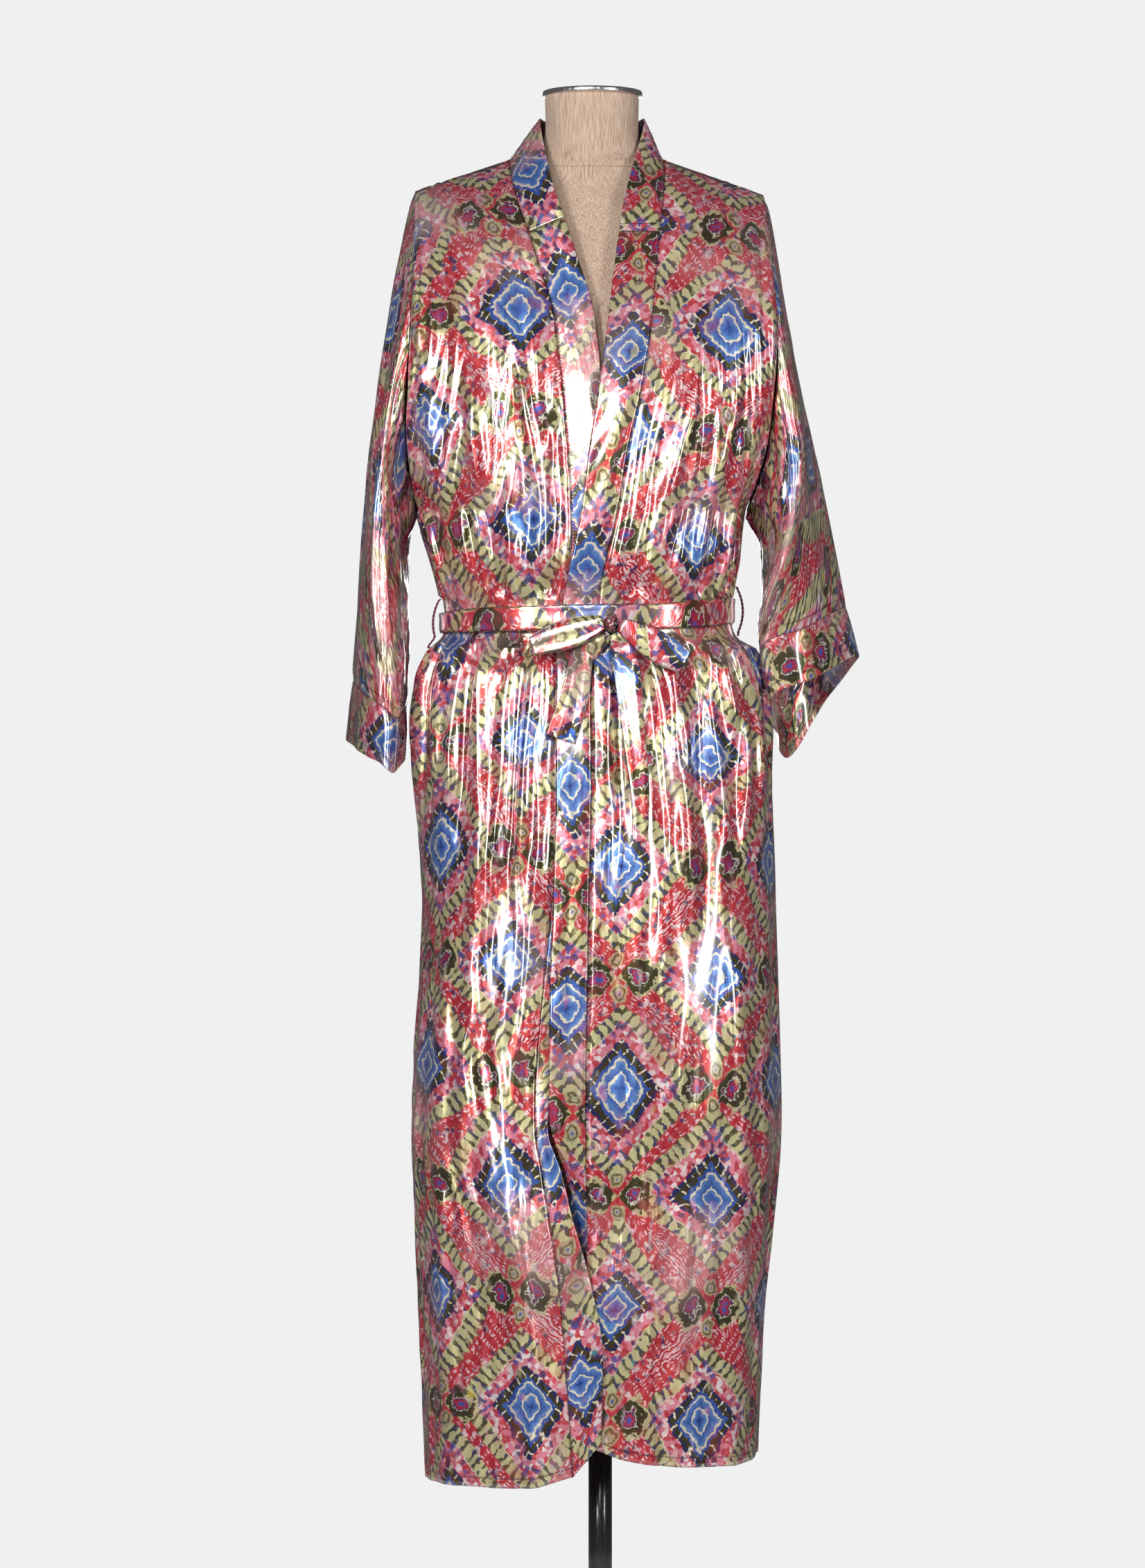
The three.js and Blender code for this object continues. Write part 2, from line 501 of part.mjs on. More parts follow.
// A wall of cloth: its outer points from pointAt(u, v) at each of the values in across and down, and its
// inner ones behind them. ring joins the last column to the first. Each free edge is drawn in by half a seam.
function wall(name, material, pointAt, facingAt, { across, down, ring = false }) {
  const [width, rows] = [across.length, down.length - 1];
  const outer = down.map((v) => across.map((u) => pointAt(u, v)));
  const facings = down.map((v) => across.map((u) => facingAt(u, v)));
  const drawIn = (from, to) => moved(from, unit(difference(to, from)), HALF_SEAM);
  for (let i = 0; i < width; i += 1) {
    outer[0][i] = drawIn(outer[0][i], outer[1][i]);
    outer[rows][i] = drawIn(outer[rows][i], outer[rows - 1][i]);
  }
  if (!ring)
    for (const row of outer) {
      row[0] = drawIn(row[0], row[1]);
      row[width - 1] = drawIn(row[width - 1], row[width - 2]);
    }
  const inner = outer.map((row, j) => row.map((point, i) => moved(point, facings[j][i], -WALL)));
  const points = [...outer.flat(), ...inner.flat()];
  const behind = outer.flat().length;
  const at = (i, j) => j * width + (i % width);
  const faces = [];
  const quad = (a, b, c, d) => faces.push([a, b, c], [a, c, d]);
  const spans = ring ? width : width - 1;
  for (let j = 0; j < rows; j += 1)
    for (let i = 0; i < spans; i += 1) {
      quad(at(i, j), at(i, j + 1), at(i + 1, j + 1), at(i + 1, j));
      quad(behind + at(i, j), behind + at(i + 1, j), behind + at(i + 1, j + 1), behind + at(i, j + 1));
    }
  for (let i = 0; i < spans; i += 1) {
    quad(at(i, 0), at(i + 1, 0), behind + at(i + 1, 0), behind + at(i, 0));
    quad(at(i, rows), behind + at(i, rows), behind + at(i + 1, rows), at(i + 1, rows));
  }
  if (!ring)
    for (let j = 0; j < rows; j += 1) {
      quad(at(0, j + 1), at(0, j), behind + at(0, j), behind + at(0, j + 1));
      const end = at(width - 1, j);
      quad(end + width, behind + end + width, behind + end, end);
    }
  return meshOf(name, material, points, faces);
}

// A strap swept along stations of {centre, side, out}: side and out are its half width and half thickness
function strap(name, material, stations, closed = false) {
  const corners = [[1, 1], [-1, 1], [-1, -1], [1, -1]];
  const points = stations.flatMap(({ centre, side, out }) =>
    corners.map(([s, o]) => centre.map((value, axis) => value + s * side[axis] + o * out[axis])));
  const faces = [];
  const last = stations.length - (closed ? 0 : 1);
  for (let k = 0; k < last; k += 1) {
    const next = (k + 1) % stations.length;
    for (let c = 0; c < 4; c += 1) {
      const d = (c + 1) % 4;
      faces.push([4 * k + c, 4 * next + c, 4 * next + d], [4 * k + c, 4 * next + d, 4 * k + d]);
    }
  }
  if (!closed) {
    const end = 4 * (stations.length - 1);
    faces.push([0, 1, 2], [0, 2, 3], [end, end + 2, end + 1], [end, end + 3, end + 2]);
  }
  return meshOf(name, material, points, faces);
}

// The belt lies on the robe: its line is made from the points of the fronts and the back, moved out
function widest(name, z) {
  const heights = [z - BELT.width / 2, z, z + BELT.width / 2];
  return Math.max(...heights.map((height) => Math.abs(column(BODY, name, height))));
}
const BAND_LIFT = 3.6;
const BACK_LIFT = 1.2;
const BOW_LIFT = 14.5;
const beltFace = widest("front", BELT.frontHeight) + BAND_LIFT + BELT.clearance + BELT.thickness;
function beltStations(perQuarter) {
  const quarters = [
    { side: "right", face: "front", turns: false },
    { side: "left", face: "front", turns: true },
    { side: "left", face: "back", turns: false },
    { side: "right", face: "back", turns: true },
  ];
  return quarters.flatMap(({ side, face, turns }) =>
    Array.from({ length: perQuarter }, (_, k) => {
      const at = turns ? 1 - k / perQuarter : k / perQuarter;
      const [sideShare, depthShare] = quarter(at);
      const z = mix(BELT.frontHeight, BELT.height[side], sideShare ** 2);
      const reach = widest(side, z) * (side === "right" ? -1 : 1);
      const middle = face === "front" ? column(BANDS[side], "seam", z) : CENTRE_X;
      const depth = face === "front" ? -(widest("front", z) + BAND_LIFT) : widest("back", z) + BACK_LIFT;
      const point = [mix(middle, reach, sideShare), depth * depthShare, z];
      const out = unit([sideShare ** 1.25 / reach, depthShare ** 1.25 / depth, 0]);
      return {
        centre: moved(point, out, BELT.clearance + BELT.thickness / 2),
        side: [0, 0, (BELT.width / 2) * mix(1, BELT.squashed[side], sideShare)],
        out: out.map((value) => (value * BELT.thickness) / 2),
      };
    }));
}

// The knot, then the bow: each loop runs out in front and comes back behind, each tail hangs from the knot.
// A loop's lean is how far its lower edge stands off the robe half-way along each run.
const KNOT = { x: 17.3, z: 1183, width: 16, height: 21, depth: 25 };
const TAIL_RIGHT = [
  { x: 15.2, z: 1171, across: 4.5, turn: 0, out: 12 },
  { x: 6, z: 1163.5, across: 8, turn: 0.1, out: 10 },
  { x: -4, z: 1157, across: 11.5, turn: 0.1, out: 7 },
  { x: -13.3, z: 1146, across: 12.5, turn: 0.2, out: 6.5 },
  { x: -20.5, z: 1107, across: 15, turn: 0.3, out: 5.5 },
  { x: -34.7, z: 1063, across: 15, turn: 0.28, out: 5 },
];
const TAIL_LEFT = [
  { x: 20.5, z: 1172, across: 4.5, turn: 0, out: 15 },
  { x: 24, z: 1166, across: 8, turn: -0.1, out: 13 },
  { x: 27, z: 1159, across: 11, turn: -0.1, out: 7 },
  { x: 30.8, z: 1150, across: 12.5, turn: -0.15, out: 6 },
  { x: 36.4, z: 1107, across: 13.5, turn: -0.12, out: 5 },
  { x: 41.5, z: 1061, across: 11.5, turn: -0.1, out: 5 },
  { x: 46.4, z: 1011, across: 9.5, turn: -0.06, out: 5 },
  { x: 47.2, z: 958, across: 8.5, turn: 0, out: 5 },
];
const BOW = { depth: 7, rootWidth: 7, fullWidth: 15 };
const BOW_RIGHT = { ...BOW, root: [8.3, 1183], tip: [-64, 1159], tipWidth: 10, lean: 0 };
const BOW_LEFT = { ...BOW, root: [26.5, 1181], tip: [92, 1142], tipWidth: 12, lean: 0.1 };

function tailStations(tail) {
  return tail.map(({ x, z, across, turn, out }, index) => {
    const before = tail[Math.max(0, index - 1)];
    const after = tail[Math.min(tail.length - 1, index + 1)];
    const fall = unit([after.x - before.x, 0, after.z - before.z]);
    return {
      centre: [x, -(column(BODY, "front", z) + BAND_LIFT + out), z],
      side: [-fall[2] * across, turn * across * 0.3, fall[0] * across],
      out: [0, -BELT.thickness / 2, 0],
    };
  });
}

function bowStations({ root, tip, depth, rootWidth, fullWidth, tipWidth, lean }, count = 17) {
  const axis = unit([tip[0] - root[0], 0, tip[1] - root[1]]);
  const centreAt = (t) => {
    const reach = Math.sin(Math.PI * t) ** 0.8;
    const y = -(beltFace + BOW_LIFT + depth - (depth * (1 - Math.cos(Math.PI * t))) / 2);
    return [mix(root[0], tip[0], reach), y, mix(root[1], tip[1], reach)];
  };
  return Array.from({ length: count }, (_, k) => {
    const t = k / (count - 1);
    const reach = Math.sin(Math.PI * t) ** 0.8;
    const middle = Math.sin(Math.PI * reach) ** 0.8;
    const across = mix(rootWidth, tipWidth, reach) + (fullWidth - (rootWidth + tipWidth) / 2) * middle;
    const side = [-axis[2] * across, lean * Math.sin(Math.PI * t) * across, axis[0] * across];
    const tangent = difference(centreAt(Math.min(1, t + 0.01)), centreAt(Math.max(0, t - 0.01)));
    const out = unit(cross(unit(side), unit(tangent)));
    return { centre: centreAt(t), side, out: out.map((value) => (value * BELT.thickness) / 2) };
  });
}

// Carrier: a thin tube that bows out from the side seam and round the belt
function carrierStations(side) {
  const sign = side === "right" ? -1 : 1;
  const middle = BELT.height[side];
  const count = 11;
  return Array.from({ length: count }, (_, k) => {
    const t = k / (count - 1);
    const z = middle + CARRIER.reach * (1 - 2 * t);
    const seat = Math.abs(column(BODY, side, z)) + CLEARANCE + CARRIER.half;
    const beltSide = Math.abs(column(BODY, side, middle)) + 2 * CLEARANCE + BELT.thickness + CARRIER.half;
    const bow = Math.max(seat, beltSide) + CARRIER.bow * Math.sin(Math.PI * t) ** 0.7;
    return {
      centre: [sign * bow, 0, z],
      side: [0, CARRIER.half, 0],
      out: [sign * CARRIER.half, 0, 0],
    };
  });
}

// Closed solid through rings of points, with flat ends
function loft(name, material, rings) {
  const count = rings[0].length;
  const points = rings.flat();
  const faces = [];
  for (let j = 0; j < rings.length - 1; j += 1)
    for (let i = 0; i < count; i += 1) {
      const next = (i + 1) % count;
      const [a, b] = [j * count + i, j * count + next];
      faces.push([a, b, b + count], [a, b + count, a + count]);
    }
  for (const ring of [0, rings.length - 1]) {
    const average = [0, 1, 2].map((axis) => rings[ring].reduce((sum, point) => sum + point[axis], 0) / count);
    const centre = points.push(average) - 1;
    for (let i = 0; i < count; i += 1) {
      const [a, b] = [ring * count + i, ring * count + ((i + 1) % count)];
      faces.push(ring === 0 ? [centre, b, a] : [centre, a, b]);
    }
  }
  return meshOf(name, material, points, faces);
}
function torsoRing(row, count = 28) {
  return Array.from({ length: count }, (_, i) => {
    const angle = (i / count) * 2 * Math.PI;
    const shape = (value) => Math.sign(value) * Math.abs(value) ** (2 / row.round);
    const depth = Math.sin(angle) < 0 ? row.front : row.back;
    return [row.middle + row.half * shape(Math.cos(angle)), depth * shape(Math.sin(angle)), row.z];
  });
}

// A turned solid round the vertical axis, from a profile of [radius, height]
function turned(name, material, profile, segments) {
  const outline = profile.map(([radius, height]) => new THREE.Vector2(radius, height));
  const mesh = new THREE.Mesh(new THREE.LatheGeometry(outline, segments), material);
  mesh.name = name;
  mesh.rotation.x = Math.PI / 2;
  return mesh;
}

const frontFacing = (side) => (u, level) => outward(frontPoint(side, u, level));
function evenly(count, low = 0, high = 1) {
  return Array.from({ length: count + 1 }, (_, i) => mix(low, high, i / count));
}

// Rows of the body. The upper ones meet the corners of the neck band, the others fall where the form changes
const NECK_ROWS = [1, 0.875, 0.75, 0.5, 0.25, 0].map((share) => share * NECK_FRONT);
const BODY_LEVELS = [
  ...NECK_ROWS.map((along) => neckSeam(along)[2]),
  1545, 1500, 1452, 1400, 1352, UNDERARM, 1264, 1232, 1215, 1190, 1173, 1160, 1142, 1108, 1050, 980, 900,
  820, 750, 695, 668, 648, 620, 575, 515, 440, 370, HEM_LEVEL,
];
const BAND_LEVELS = BODY_LEVELS.filter((level) => level <= BAND_RIGHT[0].z);
const NECK_LEVELS = [
  ...[...NECK_ROWS].reverse(),
  ...evenly(12, NECK_FRONT, 1 - NECK_FRONT).slice(1, -1),
  ...NECK_ROWS.map((along) => 1 - along),
];

function frontPanel(side) {
  const pointAt = (u, level) => frontPoint(side, u, level);
  const shape = { across: evenly(12), down: BODY_LEVELS };
  return wall(`front_${side}`, FINISH.satin, pointAt, frontFacing(side), shape);
}

// Round the sleeve, its corners meet those of the armhole's rows
function sleeveColumns(side) {
  const rows = BODY_LEVELS.filter((level) => level > UNDERARM);
  const front = rows.map((level) => armholeShare(side, "front", level) / 2);
  const back = rows.slice(1).map((level) => 1 - armholeShare(side, "back", level) / 2);
  return [...front, 0.5, ...back.reverse()];
}
function sleeveTube(name, side, material, down) {
  const pointAt = (u, v) => sleevePoint(side, u, v);
  const facingAt = (u, v) => sleeveFacing(side, u, v);
  const shape = { across: sleeveColumns(side), down, ring: true };
  return wall(`${name}_${side}`, material, pointAt, facingAt, shape);
}
const sleeve = (side) => sleeveTube("sleeve", side, FINISH.satin, evenly(11, 0, CUFF_START));
const cuff = (side) => sleeveTube("cuff", side, FINISH.satinBand, evenly(2, CUFF_START, 1));
function frontBand(side) {
  const pointAt = (u, level) => bandPoint(side, u, level);
  const facingAt = bandFacing(pointAt, side === "right" ? 1 : -1, 2);
  return wall(`band_${side}`, FINISH.satinBand, pointAt, facingAt, { across: evenly(2), down: BAND_LEVELS });
}
function neckBand() {
  const facingAt = bandFacing(bandNeckPoint, 1, SMALL_STEP);
  const shape = { across: evenly(2), down: NECK_LEVELS };
  return wall("band_neck", FINISH.satinBand, bandNeckPoint, facingAt, shape);
}
function backPanel() {
  const facingAt = (u, level) => outward(backPoint(u, level));
  return wall("back_panel", FINISH.satin, backPoint, facingAt, { across: evenly(24), down: BODY_LEVELS });
}

function robe() {
  const group = new THREE.Group();
  group.add(backPanel(), neckBand());
  for (const side of ["right", "left"])
    group.add(frontPanel(side), frontBand(side), sleeve(side), cuff(side));
  return group;
}

function tiedBelt() {
  const group = new THREE.Group();
  group.add(strap("belt", FINISH.satinBand, beltStations(13), true));
  group.add(strap("belt_tail_right", FINISH.satinBand, tailStations(TAIL_RIGHT)));
  group.add(strap("belt_tail_left", FINISH.satinBand, tailStations(TAIL_LEFT)));
  group.add(strap("bow_loop_right", FINISH.satinBand, bowStations(BOW_RIGHT)));
  group.add(strap("bow_loop_left", FINISH.satinBand, bowStations(BOW_LEFT)));
  for (const side of ["right", "left"])
    group.add(strap(`belt_loop_${side}`, FINISH.satin, carrierStations(side)));
  const knot = new THREE.Mesh(new THREE.SphereGeometry(0.5, 12, 8), FINISH.satinBand);
  knot.name = "belt_knot";
  knot.scale.set(KNOT.width, KNOT.depth, KNOT.height);
  knot.position.set(KNOT.x, -(beltFace + CLEARANCE + KNOT.depth / 2), KNOT.z);
  group.add(knot);
  return group;
}

function dressForm() {
  const group = new THREE.Group();
  group.add(loft("form_torso", FINISH.linen, [...TORSO].reverse().map((row) => torsoRing(row))));
  const seat = TORSO[0].z + CAP.gap;
  const cap = turned("neck_cap", FINISH.chrome, [
    [0, seat], [CAP.radius - 1, seat], [CAP.radius, seat + 1], [CAP.radius, seat + CAP.rim - 1],
    [CAP.radius - 1.5, seat + CAP.rim], [CAP.radius * 0.6, seat + CAP.rim + CAP.crown * 0.8],
    [0, seat + CAP.rim + CAP.crown],
  ], 28);
  cap.position.x = CAP.middle;
  group.add(cap);
  return group;
}

function stand() {
  const group = new THREE.Group();
  const innerTop = TORSO[TORSO.length - 1].z - CAP.gap;
  group.add(turned("stand_base", FINISH.black, [
    [0, 0], [BASE.radius, 0], [BASE.radius, BASE.height - BASE.edge], [BASE.radius - BASE.edge, BASE.height],
    [HUB.radius, HUB.floor], [HUB.radius, HUB.top], [OUTER_POLE.radius + CLEARANCE, HUB.top],
    [OUTER_POLE.radius + CLEARANCE, HUB.floor], [0, HUB.floor],
  ], 32));
  const foot = HUB.floor + CAP.gap;
  group.add(turned("pole_outer", FINISH.black, [
    [OUTER_POLE.bore, foot], [OUTER_POLE.radius, foot], [OUTER_POLE.radius, OUTER_POLE.top],
    [OUTER_POLE.bore, OUTER_POLE.top], [OUTER_POLE.bore, foot],
  ], 28));
  group.add(turned("pole_inner", FINISH.chrome, [
    [0, INNER_POLE.bottom], [INNER_POLE.radius, INNER_POLE.bottom],
    [INNER_POLE.radius, innerTop], [0, innerTop],
  ], 24));
  const knobAxis = new THREE.Group();
  knobAxis.rotation.y = -Math.PI / 2;
  knobAxis.position.set(-(OUTER_POLE.radius + CAP.gap), 0, KNOB.height);
  const grip = KNOB.stemLength + KNOB.length;
  knobAxis.add(turned("clamp_knob", FINISH.black, [
    [0, 0], [KNOB.stem, 0], [KNOB.stem, KNOB.stemLength], [KNOB.radius, KNOB.stemLength + 1],
    [KNOB.radius, grip - 2], [KNOB.radius - 2, grip], [0, grip],
  ], 20));
  group.add(knobAxis);
  return group;
}

const dressed = new THREE.Group();
dressed.position.set(DRESSED_SHIFT.x, DRESSED_SHIFT.y, DRESSED_SHIFT.z);
dressed.add(dressForm(), robe(), tiedBelt());

const root = new THREE.Group();
root.add(stand(), dressed);
export default root;
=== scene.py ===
"""A kimono robe of foil-printed satin on a limbless dress form: its cloth, finishes, light and camera.

The robe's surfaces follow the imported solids. They are worked out in millimetres and stored in metres.
The wearer's right is at negative x, and the robe faces -Y.
"""
from __future__ import annotations

import logging
import math
from collections.abc import Callable, Sequence
from dataclasses import dataclass, field
from enum import Enum

import bpy
import numpy as np
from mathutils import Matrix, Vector

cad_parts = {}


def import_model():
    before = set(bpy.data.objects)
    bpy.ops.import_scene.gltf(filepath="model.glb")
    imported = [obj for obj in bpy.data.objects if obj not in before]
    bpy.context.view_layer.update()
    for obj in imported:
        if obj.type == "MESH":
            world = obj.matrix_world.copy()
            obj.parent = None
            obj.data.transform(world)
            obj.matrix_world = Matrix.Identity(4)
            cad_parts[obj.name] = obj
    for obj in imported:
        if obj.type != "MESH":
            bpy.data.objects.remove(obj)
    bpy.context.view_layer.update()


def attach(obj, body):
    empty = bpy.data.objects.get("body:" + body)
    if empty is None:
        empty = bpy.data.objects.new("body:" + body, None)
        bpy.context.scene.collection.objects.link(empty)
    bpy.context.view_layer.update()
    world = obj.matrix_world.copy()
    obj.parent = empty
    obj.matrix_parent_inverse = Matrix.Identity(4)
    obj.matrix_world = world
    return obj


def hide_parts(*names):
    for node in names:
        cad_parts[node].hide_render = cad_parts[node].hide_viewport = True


log = logging.getLogger("kimono")

MM = 0.001
SHIFT_X = -6.6
BELT_HEIGHT = 1188.0
UV_NAME = "cloth"
SEAM_NAME = "seam"
HEM_NAME = "hem"

Array = np.ndarray
Surface = Callable[[Array, Array], Array]


class Side(Enum):
    """The wearer's side, with the direction in which it lies along x."""

    RIGHT = -1
    LEFT = 1

    @property
    def label(self) -> str:
        """Ending of the names of this side's pieces."""
        return self.name.lower()


class Slot(Enum):
    """Material slots of the record."""

    SATIN = "satin"
    SATIN_BAND = "satin_band"
    LINEN = "linen"
    CHROME = "chrome"
    STEEL = "steel"
    BLACK = "black"
    KNOB = "knob"


class Hold(Enum):
    """How a cut of cloth is held."""

    GATHERED = "gathered"
    HUNG = "hung"
    FOLDED = "folded"


def ease(t: Array | float) -> Array:
    """Smooth step: 0 below 0, 1 above 1, with level ends."""
    t = np.clip(t, 0.0, 1.0)
    return t * t * (3 - 2 * t)


def mix(a: Array | float, b: Array | float, t: Array | float) -> Array:
    """Straight mix from a to b."""
    return a + (b - a) * t


def unit(vectors: Array) -> Array:
    """Vectors of length one along the last axis."""
    length = np.linalg.norm(vectors, axis=-1, keepdims=True)
    return vectors / np.maximum(length, 1e-9)


@dataclass(frozen=True)
class Table:
    """Rows of named columns, read along the first one.

    Between two rows the value is a cubic whose slopes are those between the neighbouring rows.
    """

    columns: tuple[str, ...]
    rows: tuple[tuple[float, ...], ...]

    def value(self, name: str, at: Array | float) -> Array:
        """Value of a column.

        Args:
            name: the column.
            at: places along the first column.

        Returns:
            The values, in at's shape.
        """
        table = np.asarray(sorted(self.rows), float)
        keys = table[:, 0]
        values = table[:, self.columns.index(name)]
        slopes = np.empty_like(values)
        slopes[1:-1] = (values[2:] - values[:-2]) / (keys[2:] - keys[:-2])
        slopes[[0, -1]] = [
            (values[1] - values[0]) / (keys[1] - keys[0]),
            (values[-1] - values[-2]) / (keys[-1] - keys[-2]),
        ]
        at = np.asarray(at, float)
        row = np.clip(np.searchsorted(keys, at, side="right") - 1, 0, len(keys) - 2)
        span = keys[row + 1] - keys[row]
        t = np.clip((at - keys[row]) / span, 0, 1)
        t2, t3 = t * t, t * t * t
        return (
            (2 * t3 - 3 * t2 + 1) * values[row]
            + (t3 - 2 * t2 + t) * slopes[row] * span
            + (3 * t2 - 2 * t3) * values[row + 1]
            + (t3 - t2) * slopes[row + 1] * span
        )


def through(points: Array, t: Array, closed: bool = False) -> Array:
    """Catmull-Rom curve through points.

    Args:
        points: (n, 3), or (n, m, 3) where each of the m samples has points of its own.
        t: (m,) from 0 to 1 along the curve.
        closed: whether the last point joins the first.

    Returns:
        (m, 3) points.
    """
    spans = len(points) - (0 if closed else 1)
    along = np.clip(t, 0, 1) * spans
    index = np.minimum(spans - 1, np.floor(along).astype(int))

    def pick(offset: int) -> Array:
        """Point of each sample at an offset from its span's start."""
        wanted = index + offset
        wanted = wanted % len(points) if closed else np.clip(wanted, 0, spans)
        return points[wanted] if points.ndim == 2 else points[wanted, np.arange(len(wanted))]

    p, q, r, s = pick(-1), pick(0), pick(1), pick(2)
    f = (along - index)[:, None]
    return q + 0.5 * f * (r - p + f * (2 * p - 5 * q + 4 * r - s + f * (3 * (q - r) + s - p)))


def reaches(value_at: Callable[[Array], Array], target: Array) -> Array:
    """Where a falling value reaches its target, for t from 0 to 1, by halving the span."""
    low, high = np.zeros_like(target), np.ones_like(target)
    for _ in range(26):
        middle = (low + high) / 2
        above = value_at(middle) > target
        low = np.where(above, middle, low)
        high = np.where(above, high, middle)
    return (low + high) / 2


def outward(points: Array) -> Array:
    """Direction in which the body's cloth faces: that of an oval, turning upwards over the shoulders."""
    x, y, z = points[..., 0], points[..., 1], points[..., 2]
    rise = np.maximum(0, z - 1440) / 130**2
    return unit(np.stack([(x + 4) / 190**2, y / 105**2, rise], axis=-1))


def facing(surface: Surface, u: Array, v: Array, du: float, dv: float, low: float, high: float) -> Array:
    """Square to a surface at (u, v), from small steps along both; v stays between low and high."""
    along_u = surface(u + du, v) - surface(u - du, v)
    along_v = surface(u, np.minimum(high, v + dv)) - surface(u, np.maximum(low, v - dv))
    return unit(np.cross(along_u, along_v))


@dataclass(frozen=True)
class Crease:
    """A soft ridge, or a trough where its height is below zero, on a panel laid flat in millimetres."""

    start: tuple[float, float]
    end: tuple[float, float]
    width: float
    height: float
    bow: float = 0.0
    rooted: bool = False

    def relief(self, x: Array, y: Array) -> Array:
        """Height at (x, y): a bell across a bowed line, fading at both ends, or only at the end if rooted."""
        start, end = np.asarray(self.start, float), np.asarray(self.end, float)
        run = end - start
        length = float(np.hypot(*run))
        along = ((x - start[0]) * run[0] + (y - start[1]) * run[1]) / length**2
        aside = ((x - start[0]) * -run[1] + (y - start[1]) * run[0]) / length
        inside = np.clip(along, 0, 1)
        aside = aside - self.bow * 4 * inside * (1 - inside)
        spread = self.width * (0.75 + 0.7 * inside) if self.rooted else self.width
        fade_in = ease(along / 0.04) if self.rooted else ease(along / 0.4)
        return self.height * np.exp(-((aside / spread) ** 2)) * fade_in * ease((1 - along) / 0.55)


@dataclass(frozen=True)
class Gathers:
    """A run of uneven creases that start at one line, such as the cloth drawn in by the belt."""

    seed: int
    count: int
    span: tuple[float, float]
    root: float
    reach: tuple[float, float]
    height: tuple[float, float] = (1.4, 4.2)
    width: tuple[float, float] = (2.6, 6.5)
    lean: float = 18.0

    def creases(self) -> list[Crease]:
        """The creases, with places, lengths and heights drawn from the seed."""
        draw = np.random.default_rng(self.seed)
        step = (self.span[1] - self.span[0]) / self.count
        made = []
        for index in range(self.count):
            x = self.span[0] + step * (index + draw.uniform(0.1, 0.9))
            lean = draw.uniform(-self.lean, self.lean)
            sign = -1 if draw.random() < 0.42 else 1
            made.append(
                Crease(
                    start=(x, self.root),
                    end=(x + lean, self.root + draw.uniform(*self.reach)),
                    width=draw.uniform(*self.width),
                    height=sign * draw.uniform(*self.height),
                    bow=draw.uniform(-5, 5),
                    rooted=True,
                )
            )
        return made


@dataclass(frozen=True)
class Relief:
    """All creases of one panel, and the fine crinkle between them."""

    creases: tuple[Crease, ...]
    seed: int
    crinkle: float = 0.62
    stretch: float = 3.8

    def height(self, x: Array, y: Array) -> Array:
        """Sum of the creases, and of waves of uneven length that run mostly down the cloth."""
        total = np.zeros_like(x)
        for crease in self.creases:
            total += crease.relief(x, y)
        draw = np.random.default_rng(self.seed)
        for _ in range(16):
            wave = draw.uniform(11, 46)
            turn = draw.normal(0, 0.5)
            phase, drift = draw.uniform(0, 2 * math.pi, 2)
            swing = np.sin(y / draw.uniform(60, 140) + drift) * draw.uniform(4, 12)
            across = (x + swing) * math.cos(turn) + y / self.stretch * math.sin(turn)
            fade = 0.5 + 0.5 * np.sin(y / draw.uniform(70, 210) + x / draw.uniform(60, 160) + phase)
            total += self.crinkle * (wave / 46) ** 0.6 * fade * np.sin(2 * math.pi * across / wave + phase)
        return total


BODY = Table(
    ("z", "right", "left", "front", "back"),
    (
        (1642, -188, 178, 30, 45),
        (1600, -190, 186, 70, 74),
        (1550, -191, 190, 94, 89),
        (1500, -190, 190, 110, 97),
        (1450, -192, 190, 121, 101),
        (1400, -195, 184, 127, 102),
        (1306, -184, 160, 127, 100),
        (1253, -170, 154, 124, 99),
        (1216, -160.5, 146, 116, 96),
        (1190, -157, 144.5, 113, 94),
        (1172, -160, 150, 113.5, 95),
        (1160, -172, 165, 118, 100),
        (1126, -188, 178, 128, 110),
        (1050, -190.5, 186, 137, 121),
        (940, -184, 190, 140, 124),
        (882, -181, 191, 140, 124),
        (735, -189, 195.5, 140, 123),
        (640, -192, 196, 140, 122),
        (545, -188, 187, 140, 121),
        (430, -183, 178, 139, 119),
        (285, -176.5, 171, 138, 117),
    ),
)
BAND_COLUMNS = ("z", "seam", "edge", "rise", "seam_out", "edge_out")
